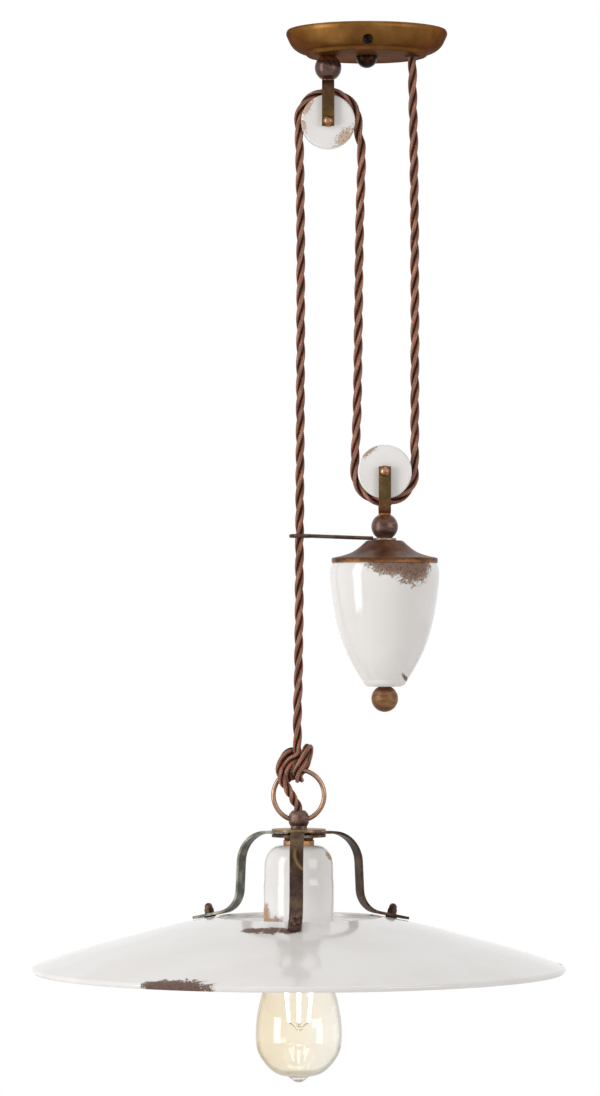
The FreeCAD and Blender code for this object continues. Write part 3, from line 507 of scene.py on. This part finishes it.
for name, radius in softEdges.items():
    soften(name, radius)
print(len(softened), "pieces softened")

# metals: turned and bent iron and brass, browned with acid, rubbed back and left to rust

# what a metal has where its own entry in metalLooks says nothing else
plainMetal = {
    "grain": (1, 1, 1),          # turning or rolling marks: how much finer the patches are along each axis
    "speckle": 1.6,              # fine mottling of the patina, coarser than real so that it shows
    "mottle": 0.28,              # how strong it is
    "bump": 0.25,
    "shine": 0.2,
    "edge": "#ffffff",           # what it reflects when seen edgewise
    "rustEverywhere": 0.0,
    "rustLines": [],             # heights where rust gathers, and how far it spreads from each
    "rustDepth": 0.62,           # how much rust there is on such a line
    "rustPatch": 3.0,
    "rustDark": "#5a2c16",
    "rust": "#a3602f",
}


def agedMetal(name, look):
    # dark patina over brighter metal, rust that gathers where two pieces meet and holds water
    look = {**plainMetal, **look}
    material = newMaterial(name)
    place = addNode(material, "TexCoord").outputs["Object"]
    # a turned or rolled surface has its marks drawn out along one way: the grain stretches the patches
    grained = addNode(material, "Mapping", {"Vector": place, "Scale": look["grain"]}).outputs[0]
    patches = addNode(material, "TexNoise", {"Vector": grained, "Scale": 1 / (look["patch"] * mm),
                                             "Detail": 4.0, "Roughness": 0.6})
    body = addNode(material, "ValToRGB", {0: patches.outputs[0]},
                   stops=[(0.36, look["dark"]), (0.52, look["base"]), (0.66, look["worn"])])
    speckle = addNode(material, "TexNoise", {"Vector": grained, "Scale": 1 / (look["speckle"] * mm),
                                             "Detail": 5.0, "Roughness": 0.7}).outputs[0]
    mottle = addNode(material, "ValToRGB", {0: speckle},
                     stops=[(0.3, 1 - look["mottle"]), (0.7, 1 + look["mottle"])])
    colour = addNode(material, "Mix", {0: 1.0, 6: body.outputs[0], 7: mottle.outputs[0]},
                     data_type="RGBA", blend_type="MULTIPLY").outputs[2]
    if "stain" in look:
        # a ring left by a brass washer: its middle right and up, its radius, how wide the mark is
        right, up, radius, width = [v * mm for v in look["stain"]]
        flat = addNode(material, "VectorMath", {0: place, 1: (1, 0, 1)}, operation="MULTIPLY")
        away = addNode(material, "VectorMath", {0: flat.outputs[0], 1: (right, 0, up)},
                       operation="DISTANCE")
        away = addNode(material, "Math", {0: away.outputs["Value"], 1: radius}, operation="SUBTRACT")
        away = addNode(material, "Math", {0: away.outputs[0]}, operation="ABSOLUTE")
        mark = addNode(material, "MapRange", {"Value": away.outputs[0], "From Max": width, "To Min": 0.8,
                                              "To Max": 0.0})
        colour = addNode(material, "Mix", {0: mark.outputs[0], 6: colour, 7: toLinear(look["stainColour"])},
                         data_type="RGBA").outputs[2]
    height = addNode(material, "SeparateXYZ", {0: place}).outputs[2]
    # each rust line is a height and how far from it the rust spreads
    spread = look["rustEverywhere"]
    for line, reach in look["rustLines"]:
        away = addNode(material, "Math", {0: height, 1: line * mm}, operation="SUBTRACT")
        away = addNode(material, "Math", {0: away.outputs[0]}, operation="ABSOLUTE")
        near = addNode(material, "MapRange", {"Value": away.outputs[0], "From Max": reach * mm,
                                              "To Max": 0.0, "To Min": look["rustDepth"]})
        spread = addNode(material, "Math", {0: spread, 1: near.outputs[0]}, operation="MAXIMUM").outputs[0]
    eaten = addNode(material, "TexNoise", {"Vector": place, "Scale": 1 / (look["rustPatch"] * mm),
                                           "Detail": 5.0, "Roughness": 0.65})
    rustMask = addNode(material, "Math", {0: eaten.outputs[0], 1: spread}, operation="ADD")
    rustMask = addNode(material, "MapRange", {"Value": rustMask.outputs[0], "From Min": 0.72,
                                              "From Max": 0.98})
    rust = addNode(material, "ValToRGB", {0: speckle},
                   stops=[(0.3, look["rustDark"]), (0.65, look["rust"])])
    colour = addNode(material, "Mix", {0: rustMask.outputs[0], 6: colour, 7: rust.outputs[0]},
                     data_type="RGBA").outputs[2]
    gloss = addNode(material, "MapRange", {"Value": speckle, "From Min": 0.3, "From Max": 0.7,
                                           "To Min": look["roughness"] - 0.08,
                                           "To Max": look["roughness"] + 0.12})
    metal = addNode(material, "MapRange", {"Value": rustMask.outputs[0], "To Min": look["metallic"],
                                           "To Max": 0.2})
    relief = addNode(material, "Math", {0: speckle, 1: rustMask.outputs[0]}, operation="ADD")
    bump = addNode(material, "Bump", {"Height": relief.outputs[0], "Strength": look["bump"],
                                      "Distance": 0.3 * mm})
    # the oxide skin is duller than clean metal
    shader = addNode(material, "BsdfPrincipled",
                     {"Base Color": colour, "Roughness": gloss.outputs[0], "Metallic": metal.outputs[0],
                      "Specular IOR Level": look["shine"], "Specular Tint": toLinear(look["edge"]),
                      "Normal": bump.outputs[0]})
    return closeMaterial(material, shader)


metalLooks = {
    "brass-lacquered pressed steel": {        # satin brown gold with cloudy hand rubbing
        "dark": "#6a4722", "base": "#7d562c", "worn": "#8e683a", "patch": 30.0, "speckle": 0.9,
        "mottle": 0.14, "metallic": 0.85, "roughness": 0.42, "bump": 0.06, "edge": "#8a7258",
        "rustDark": "#4a2a12", "rust": "#85562c", "rustLines": [(-22.0, 2.5)]},
    "browned turned iron, upper ball": {      # purple-brown ball, orange rust at canopy and neck
        "dark": "#48342e", "base": "#54413b", "worn": "#665149", "patch": 7.0, "mottle": 0.1, "bump": 0.04,
        "metallic": 0.7, "roughness": 0.28, "rustLines": [(-19.5, 6.5), (-38.0, 5.0)],
        "rustDark": "#4e2817", "rust": "#a05a34"},
    "browned turned iron, weight ball": {     # paler than the upper ball, with orange specks
        "dark": "#4f3a31", "base": "#604a42", "worn": "#735d53", "patch": 7.0, "mottle": 0.1, "bump": 0.04,
        "metallic": 0.7, "roughness": 0.32, "grain": (1, 1, 3), "rustEverywhere": 0.06,
        "rustLines": [(-362.5, 6.0), (-381.0, 3.0)], "rustDark": "#5f3319", "rust": "#b56a38"},
    "browned turned iron, head ball": {       # grey brown, worn soft
        "dark": "#503c34", "base": "#6d554b", "worn": "#8d766b", "patch": 4.5, "mottle": 0.18,
        "bump": 0.12, "metallic": 0.6, "roughness": 0.42, "rustEverywhere": 0.05, "rustDark": "#4a2a1c",
        "rust": "#7c5038"},
    "blackened turned iron": {                # nearly black brown, turned smooth
        "dark": "#1a0f0a", "base": "#27170f", "worn": "#3c271e", "patch": 5.0, "metallic": 0.6,
        "roughness": 0.3, "shine": 0.1},
    "rubbed brown brass": {                   # the finial: even warm brown with fine turning lines
        "dark": "#65472e", "base": "#7d593c", "worn": "#916b4b", "patch": 12.0, "mottle": 0.12,
        "metallic": 0.5, "roughness": 0.42, "grain": (1, 1, 5), "rustEverywhere": 0.04, "rust": "#a06a3c"},
    "acid-browned brass strip, upper": {      # darker brown at the top, bare brass towards the axle
        "dark": "#4c391c", "base": "#5c4522", "worn": "#6c522d", "patch": 12.0, "mottle": 0.2,
        "metallic": 0.6, "roughness": 0.4, "rustLines": [(-34.0, 26.0)], "rustDark": "#2f1a15",
        "rust": "#4d2e24"},
    "acid-browned brass strip, lower": {      # the same, but rusty at its foot
        "dark": "#4e3d25", "base": "#5f4a2a", "worn": "#70583a", "patch": 12.0, "mottle": 0.2,
        "metallic": 0.6, "roughness": 0.4, "rustLines": [(-366.0, 26.0)], "rustDark": "#45281c",
        "rust": "#79492c"},
    "copper rivet": {                         # warm brown, smooth from the hammer
        "dark": "#77523a", "base": "#986e51", "worn": "#b88f70", "patch": 3.0, "metallic": 0.8,
        "roughness": 0.28},
    "zinc-plated washer": {                   # plating gone a dull warm grey
        "dark": "#6f6660", "base": "#8b817a", "worn": "#a59b94", "patch": 4.0, "metallic": 0.7,
        "roughness": 0.42},
    "darkened bronze wire": {                 # dark brown, drawn smooth
        "dark": "#43332b", "base": "#524138", "worn": "#69564a", "patch": 12.0, "mottle": 0.16,
        "metallic": 0.6, "roughness": 0.38, "rustEverywhere": 0.03},
    "spun iron, rusted brown": {              # the weight's cap: deep rust brown, orange at the lip
        "dark": "#432614", "base": "#5b3820", "worn": "#734b2f", "patch": 14.0, "mottle": 0.2,
        "metallic": 0.45, "roughness": 0.42, "grain": (1, 1, 3), "rustPatch": 10.0, "rustDepth": 0.4,
        "rustLines": [(-399.4, 3.6)], "rustDark": "#7d4a1c", "rust": "#a87238"},
    "antique copper wire": {                  # even light brown with a soft shine
        "dark": "#8d6e57", "base": "#a08068", "worn": "#b39279", "patch": 14.0, "speckle": 6.0,
        "mottle": 0.07, "bump": 0.04, "metallic": 0.85, "roughness": 0.26, "edge": "#7d5f48"},
    "drawn brass disc": {                     # brown with paler, rubbed patches
        "dark": "#5e4a38", "base": "#83694f", "worn": "#a38a70", "patch": 10.0, "metallic": 0.6,
        "roughness": 0.36},
    "drawn brass disc, painted strap shade": {    # painted shade: the disc brass darkened under the straps
        "dark": "#33261e", "base": "#54402f", "worn": "#8d7866", "patch": 9.0, "metallic": 0.55,
        "roughness": 0.4},
    "blued steel strap, front": {             # dark brown oxide with a washer's ring on it
        "dark": "#33251f", "base": "#46362e", "worn": "#5f4c3f", "patch": 14.0, "metallic": 0.6,
        "roughness": 0.34, "rustPatch": 9.0, "rustLines": [(-606.0, 13.0)], "rustDark": "#3b2b20",
        "rust": "#655036", "stain": (-40.5, -615.0, 13.6, 1.7), "stainColour": "#8f7044"},
    "blued steel strap, right": {             # dark brown oxide with red-brown specks
        "dark": "#291e17", "base": "#413024", "worn": "#644a35", "patch": 11.0, "metallic": 0.6,
        "roughness": 0.34, "rustEverywhere": 0.1, "rustDark": "#44271a", "rust": "#87502c"},
    "blued steel strap, left": {              # green-grey oxide
        "dark": "#403f38", "base": "#5a5950", "worn": "#827e71", "patch": 11.0, "metallic": 0.6,
        "roughness": 0.32},
    "rusted steel nut": {                     # dark red-brown, a little shine left
        "dark": "#35221a", "base": "#4f372b", "worn": "#775c4b", "patch": 3.0, "metallic": 0.5,
        "roughness": 0.38, "rustEverywhere": 0.05, "rust": "#7c4e30"},
    "copper-washed collar": {                 # bright orange-brown with small rust specks
        "dark": "#7d5433", "base": "#ab7b50", "worn": "#c99a6e", "patch": 6.0, "metallic": 0.65,
        "roughness": 0.36, "rustEverywhere": 0.04, "rustDark": "#5f3820", "rust": "#a5683c"},
    "turned brass, dull": {                   # dull gold, turned smooth
        "dark": "#7d5a2c", "base": "#a97d42", "worn": "#c59a5a", "patch": 7.0, "metallic": 0.7,
        "roughness": 0.36},
    "black nickel screw": {                   # dark mirror
        "dark": "#120e0b", "base": "#1a1511", "worn": "#2a221c", "patch": 3.0, "metallic": 0.9,
        "roughness": 0.1, "shine": 0.1, "bump": 0.03},
    "bright zinc steel": {                    # pale grey with a soft shine
        "dark": "#86837e", "base": "#a19e99", "worn": "#b9b6b1", "patch": 9.0, "metallic": 0.85,
        "roughness": 0.34},
    "grey cast iron": {                       # sand-cast skin, coarse grain
        "dark": "#3c3b39", "base": "#4d4b49", "worn": "#5f5d5a", "patch": 8.0, "speckle": 1.0,
        "metallic": 0.4, "roughness": 0.6, "bump": 0.8},
}
metalNodes = {
    "brass-lacquered pressed steel": ["canopy"],
    "browned turned iron, upper ball": ["upper_ball"],
    "browned turned iron, weight ball": ["weight_ball"],
    "browned turned iron, head ball": ["head_ball"],
    "blackened turned iron": ["centre_ball_nut"],
    "rubbed brown brass": ["weight_finial"],
    "acid-browned brass strip, upper": ["upper_fork"],
    "acid-browned brass strip, lower": ["lower_fork"],
    "copper rivet": ["upper_axle", "lower_axle"],
    "zinc-plated washer": ["weight_washer"],
    "darkened bronze wire": ["guide_arm"],
    "spun iron, rusted brown": ["weight_cap"],
    "antique copper wire": ["suspension_ring"],
    "drawn brass disc": ["top_disc", "strap_rivets"],
    "drawn brass disc, painted strap shade": ["lower_disc", "head_locknut"],
    "blued steel strap, front": ["strap_front"],
    "blued steel strap, right": ["strap_right"],
    "blued steel strap, left": ["strap_left"],
    "rusted steel nut": ["shade_nuts", "shade_screws"],
    "copper-washed collar": ["head_collar"],
    "turned brass, dull": ["upper_pulley_bush", "lower_pulley_bush", "socket_shell", "centre_contact",
                           "bulb_base_contact"],
    "black nickel screw": ["canopy_side_screws"],
    "bright zinc steel": ["ceiling_bracket", "centre_stud", "upper_hanger_screw", "upper_hanger_nut",
                          "tie_rod", "threaded_tube", "bulb_cap", "bulb_wires"],
    "grey cast iron": ["ballast_core"],
}
for finish, names in metalNodes.items():
    metal = agedMetal(finish, metalLooks[finish])
    dress(metal, *names)
    for name in names:
        if name in softened:
            softened[name].data.materials.append(metal)
print("metals done")

# glazed earthenware with its chips

glazeLook = {
    "glaze": "#e8e5e2",
    "pooled": "#e3dfdb",         # where the glaze lies thicker
    "cloud": 45.0,               # size of the patches where it does
    "wave": 30.0,                # size of the waves in its surface
    "roughness": 0.12,
    "grain": 1.4,                # grains of the bare clay, coarser than real so that they show
    "pit": 1.5,
}
# each ceramic piece: the fired clay by a chip's edge, farther in, and in its pits, how wide the bays of a
# break are, how far they wander as a share of the chip, how deep the glaze breaks off, then its chips:
# middle, turn of the length about each axis in degrees, reach along, through and up
chips = {
    "shade": {
        "clay": ("#9f8471", "#72584b", "#33231d"), "bay": 5.5, "ragged": 0.75, "depth": 1.2, "spots": [
            ((-136.5, -181.0, -704.5), (0, 0, -25.5), (25.0, 13.0, 8.0)),
            ((-152.0, -172.0, -704.0), (0, 0, -30.0), (12.0, 9.0, 5.5)),
            ((-83.0, -81.7, -669.8), (0, 0, -20.0), (9.0, 8.0, 5.0)),
            ((-71.5, -85.5, -669.5), (0, 0, -13.0), (7.5, 9.5, 5.0)),
            ((-59.5, -86.3, -669.4), (0, 0, -5.0), (8.5, 7.5, 5.0)),
            ((135.6, 50.0, -700.6), (0, 0, -74.0), (8.0, 5.0, 3.0)),
            ((146.5, 15.0, -702.6), (0, 0, -85.0), (8.0, 4.0, 3.0))]},
    "lampholder_cup": {
        "clay": ("#e2cdbb", "#c9a183", "#8a5a3a"), "bay": 5.5, "ragged": 0.75, "depth": 1.2, "spots": [
            ((-70.5, -17.5, -671.0), (0, 0, -42.0), (12.0, 7.0, 7.0)),
            ((-75.5, -9.0, -663.0), (0, 0, -70.0), (6.0, 4.0, 8.0)),
            ((-58.0, -25.5, -674.0), (0, 0, -14.0), (9.0, 4.0, 4.0)),
            ((-28.4, -8.0, -619.0), (0, 35, 0), (4.5, 4.0, 2.6))]},
    "weight_shell": {
        "clay": ("#d6bba6", "#876a5a", "#2a1c17"), "bay": 4.2, "ragged": 0.5, "depth": 1.2, "spots": [
            ((24.5, -37.0, -399.5), (0, 0, 16.0), (27.0, 16.0, 10.5)),
            ((33.0, -33.0, -400.0), (0, 0, 35.0), (17.0, 12.0, 15.5)),
            ((30.0, -10.0, -487.5), (0, 52, 0), (8.5, 7.0, 1.5))]},
    "upper_pulley": {
        "clay": ("#e3d3c6", "#c9ad98", "#7a5a48"), "bay": 1.7, "ragged": 1.3, "depth": 0.4, "spots": [
            ((-44.6, -6.4, -57.6), (0, -60, 0), (6.4, 3.0, 2.7)),
            ((-47.6, -6.4, -72.0), (0, -100, 0), (4.6, 3.0, 2.2)),
            ((-16.6, -6.4, -80.4), (0, 133, 0), (8.8, 3.0, 4.2))]},
    "lower_pulley": {
        "clay": ("#dcc9ba", "#b99c85", "#6a4c3c"), "bay": 1.7, "ragged": 1.3, "depth": 0.4, "spots": [
            ((1.4, -6.4, -315.6), (0, -37, 0), (9.2, 3.0, 2.6))]},
}


def glazedEarthenware(name, damage):
    # thick tin glaze: deep gloss over a slightly wavy cream-white coat, knocked off in ragged chips
    look = glazeLook
    nearEdge, inner, pit = damage["clay"]
    material = newMaterial("tin-glazed earthenware, " + name)
    place = addNode(material, "TexCoord").outputs["Object"]
    cloud = addNode(material, "TexNoise", {"Vector": place, "Scale": 1 / (look["cloud"] * mm),
                                           "Detail": 2.0})
    coat = addNode(material, "ValToRGB", {0: cloud.outputs[0]},
                   stops=[(0.38, look["pooled"]), (0.62, look["glaze"])])
    nearest = None
    for middle, turn, reach in damage["spots"]:
        spot = addNode(material, "Mapping", {"Vector": place, "Location": [m * mm for m in middle],
                                             "Rotation": [math.radians(t) for t in turn],
                                             "Scale": [r * mm for r in reach]}, vector_type="TEXTURE")
        away = addNode(material, "VectorMath", {0: spot.outputs[0]}, operation="LENGTH").outputs["Value"]
        nearest = away if nearest is None else addNode(material, "Math", {0: nearest, 1: away},
                                                       operation="MINIMUM").outputs[0]
    # the break wanders in bays with a fine lace of splinters on them
    bays = addNode(material, "TexNoise", {"Vector": place, "Scale": 1 / (damage["bay"] * mm), "Detail": 7.0,
                                          "Roughness": 0.78, "Distortion": 0.3})
    wander = addNode(material, "MapRange", {"Value": bays.outputs[0], "From Min": 0.25, "From Max": 0.75,
                                            "To Min": 1 - damage["ragged"], "To Max": 1 + damage["ragged"]})
    inside = addNode(material, "Math", {0: wander.outputs[0], 1: nearest}, operation="SUBTRACT").outputs[0]
    chip = addNode(material, "MapRange", {"Value": inside, "From Min": 0.0, "From Max": 0.04}).outputs[0]
    # clay: paler by the break, darker and full of pits farther in
    grain = addNode(material, "TexNoise", {"Vector": place, "Scale": 1 / (look["grain"] * mm),
                                           "Detail": 6.0, "Roughness": 0.8}).outputs[0]
    deep = addNode(material, "MapRange", {"Value": nearest, "From Min": 1.2, "From Max": 0.5})
    tone = addNode(material, "MapRange", {"Value": grain, "From Min": 0.35, "From Max": 0.65,
                                          "To Min": -0.35, "To Max": 0.35})
    tone = addNode(material, "Math", {0: deep.outputs[0], 1: tone.outputs[0]}, operation="ADD")
    body = addNode(material, "ValToRGB", {0: tone.outputs[0]}, stops=[(0.1, nearEdge), (0.75, inner)])
    pits = addNode(material, "TexVoronoi", {"Vector": place, "Scale": 1 / (look["pit"] * mm),
                                            "Randomness": 1.0})
    pitted = addNode(material, "MapRange", {"Value": pits.outputs["Distance"], "From Min": 0.2,
                                            "From Max": 0.4, "To Min": 1.0, "To Max": 0.0})
    crowd = addNode(material, "MapRange", {"Value": grain, "From Min": 0.38, "From Max": 0.52})
    pitted = addNode(material, "Math", {0: pitted.outputs[0], 1: crowd.outputs[0]}, operation="MULTIPLY")
    body = addNode(material, "Mix", {0: pitted.outputs[0], 6: body.outputs[0], 7: toLinear(pit)},
                   data_type="RGBA")
    colour = addNode(material, "Mix", {0: chip, 6: coat.outputs[0], 7: body.outputs[2]}, data_type="RGBA")
    gloss = addNode(material, "MapRange", {"Value": chip, "To Min": look["roughness"], "To Max": 0.85})
    wave = addNode(material, "TexNoise", {"Vector": place, "Scale": 1 / (look["wave"] * mm), "Detail": 1.0})
    waved = addNode(material, "Bump", {"Height": wave.outputs[0], "Strength": 0.12, "Distance": 2 * mm})
    # the glaze stands above the clay by the chip's depth
    step = addNode(material, "MapRange", {"Value": inside, "From Min": -0.02, "From Max": 0.1,
                                          "To Min": 1.0, "To Max": 0.0})
    rough = addNode(material, "Math", {0: grain, 1: chip}, operation="MULTIPLY")
    relief = addNode(material, "Math", {0: step.outputs[0], 1: rough.outputs[0]}, operation="ADD")
    bump = addNode(material, "Bump", {"Height": relief.outputs[0], "Strength": 0.9,
                                      "Distance": damage["depth"] * mm, "Normal": waved.outputs[0]})
    shader = addNode(material, "BsdfPrincipled",
                     {"Base Color": colour.outputs[2], "Roughness": gloss.outputs[0], "IOR": 1.52,
                      "Normal": bump.outputs[0]})
    return closeMaterial(material, shader)


for node, damage in chips.items():
    dress(glazedEarthenware(node.replace("_", " "), damage), node)
print("ceramics done")

# plastics, rubber and wire insulation


def mouldedPlastic(name, look):
    # moulded skin: a fine orange-peel and a little dust in the hollows
    material = newMaterial(name)
    place = addNode(material, "TexCoord").outputs["Object"]
    cloud = addNode(material, "TexNoise", {"Vector": place, "Scale": 1 / (look["patch"] * mm),
                                           "Detail": 3.0}).outputs[0]
    colour = addNode(material, "ValToRGB", {0: cloud}, stops=[(0.35, look["dark"]), (0.65, look["base"])])
    peel = addNode(material, "TexNoise", {"Vector": place, "Scale": 1 / (0.8 * mm),
                                          "Detail": 2.0}).outputs[0]
    bump = addNode(material, "Bump", {"Height": peel, "Strength": 0.12, "Distance": 0.1 * mm})
    gloss = addNode(material, "MapRange", {"Value": cloud, "To Min": look["roughness"] - 0.05,
                                           "To Max": look["roughness"] + 0.1})
    shader = addNode(material, "BsdfPrincipled",
                     {"Base Color": colour.outputs[0], "Roughness": gloss.outputs[0], "IOR": look["ior"],
                      "Normal": bump.outputs[0]})
    return closeMaterial(material, shader)


plasticLooks = {
    "black moulded rubber": {
        "dark": "#131211", "base": "#1f1d1c", "patch": 5.0, "roughness": 0.7, "ior": 1.52},
    "black phenolic": {
        "dark": "#161412", "base": "#231f1c", "patch": 12.0, "roughness": 0.32, "ior": 1.6},
    "natural nylon": {
        "dark": "#d5cfc0", "base": "#e6e2d6", "patch": 9.0, "roughness": 0.4, "ior": 1.53},
    "brown wire insulation": {
        "dark": "#4a2f22", "base": "#5f3e2d", "patch": 6.0, "roughness": 0.45, "ior": 1.5},
}
plasticNodes = {
    "black moulded rubber": ["cord_grommet", "shade_washers"],
    "black phenolic": ["lampholder_body"],
    "natural nylon": ["cord_clamp", "terminal_block"],
    "brown wire insulation": ["lamp_leads"],
}
for finish, names in plasticNodes.items():
    dress(mouldedPlastic(finish, plasticLooks[finish]), *names)
print("plastics done")

# the bulb: amber glass and its lit rods

bulbLook = {
    # the glass seen straight on, aslant, near the edge and at it: more amber on the left of the bulb
    # painted shade: the last two darken the outline of the glass, beyond the lustre's deeper tint
    "amberSide": ("#f9f1e0", "#f8efdd", "#dccba6", "#93835f"),
    "clearSide": ("#fcf9f1", "#f9f7f1", "#d6cfbf", "#7d7564"),
    "slant": (0, 0.45, 0.6, 0.74),    # how far aslant that is, from 0 straight on to 1 edgewise
    "amberAt": -75.0,            # from left to right: all amber up to the first place,
    "clearAt": -30.0,            # all clear from the second
    "tipTop": -784.0,            # the glass is seedy and cloudy from here down to the tip
    "tipBottom": -787.5,
    "glow": "#fff4dc",
    "glowStrength": 9.0,
    "chipSpacing": 1.6,          # along a lit rod
    "betweenChips": 0.8,         # share of the glow that is left between two chips
}


def amberGlass():
    # blown lead-free glass, amber lustre: clear in the middle, deeper aslant, painted shade at the outline
    material = newMaterial("blown glass, amber lustre")
    place = addNode(material, "TexCoord").outputs["Object"]
    haze = addNode(material, "TexNoise", {"Vector": place, "Scale": 1 / (18 * mm),
                                          "Detail": 2.0}).outputs[0]
    edge = addNode(material, "LayerWeight", {"Blend": 0.35})
    axes = addNode(material, "SeparateXYZ", {0: place})
    across = addNode(material, "MapRange", {"Value": axes.outputs[0], "From Min": bulbLook["amberAt"] * mm,
                                            "From Max": bulbLook["clearAt"] * mm})
    amber, clear = [addNode(material, "ValToRGB", {0: edge.outputs["Facing"]},
                            stops=list(zip(bulbLook["slant"], bulbLook[side])))
                    for side in ("amberSide", "clearSide")]
    tint = addNode(material, "Mix", {0: across.outputs[0], 6: amber.outputs[0], 7: clear.outputs[0]},
                   data_type="RGBA")
    through = addNode(material, "MapRange",
                      {"Value": axes.outputs[2], "From Min": bulbLook["tipBottom"] * mm,
                       "From Max": bulbLook["tipTop"] * mm, "To Min": 0.4, "To Max": 1.0})
    gloss = addNode(material, "MapRange", {"Value": haze, "To Min": 0.0, "To Max": 0.03})
    bump = addNode(material, "Bump", {"Height": haze, "Strength": 0.05, "Distance": 1 * mm})
    shader = addNode(material, "BsdfPrincipled",
                     {"Base Color": tint.outputs[2], "Roughness": gloss.outputs[0], "IOR": 1.47,
                      "Transmission Weight": through.outputs[0], "Normal": bump.outputs[0]})
    return closeMaterial(material, shader)


def clearGlass():
    # drawn rod: clear and smooth, its gloss a little uneven
    material = newMaterial("drawn glass rod, clear")
    place = addNode(material, "TexCoord").outputs["Object"]
    seed = addNode(material, "TexNoise", {"Vector": place, "Scale": 1 / (5.0 * mm),
                                          "Detail": 2.0}).outputs[0]
    gloss = addNode(material, "MapRange", {"Value": seed, "To Min": 0.0, "To Max": 0.06})
    shader = addNode(material, "BsdfPrincipled",
                     {"Base Color": toLinear("#fbf8f0"), "Roughness": gloss.outputs[0], "IOR": 1.5,
                      "Transmission Weight": 1.0})
    return closeMaterial(material, shader)


def litPhosphor():
    # phosphor sleeve over a row of chips: bright along the rod, a little deeper between the chips
    material = newMaterial("phosphor sleeve, lit")
    place = addNode(material, "TexCoord").outputs["Object"]
    height = addNode(material, "SeparateXYZ", {0: place}).outputs[2]
    turns = 2 * math.pi / (bulbLook["chipSpacing"] * mm)
    rows = addNode(material, "Math", {0: height, 1: turns}, operation="MULTIPLY")
    rows = addNode(material, "Math", {0: rows.outputs[0]}, operation="SINE")
    level = addNode(material, "MapRange", {"Value": rows.outputs[0], "From Min": -1.0, "From Max": 1.0,
                                           "To Min": bulbLook["betweenChips"] * bulbLook["glowStrength"],
                                           "To Max": bulbLook["glowStrength"]})
    shader = addNode(material, "BsdfPrincipled",
                     {"Base Color": toLinear("#f2e2b0"), "Roughness": 0.5,
                      "Emission Color": toLinear(bulbLook["glow"]), "Emission Strength": level.outputs[0]})
    return closeMaterial(material, shader)


dress(amberGlass(), "bulb_glass")
dress(clearGlass(), "bulb_stem")
dress(litPhosphor(), "bulb_filaments")
print("bulb done")
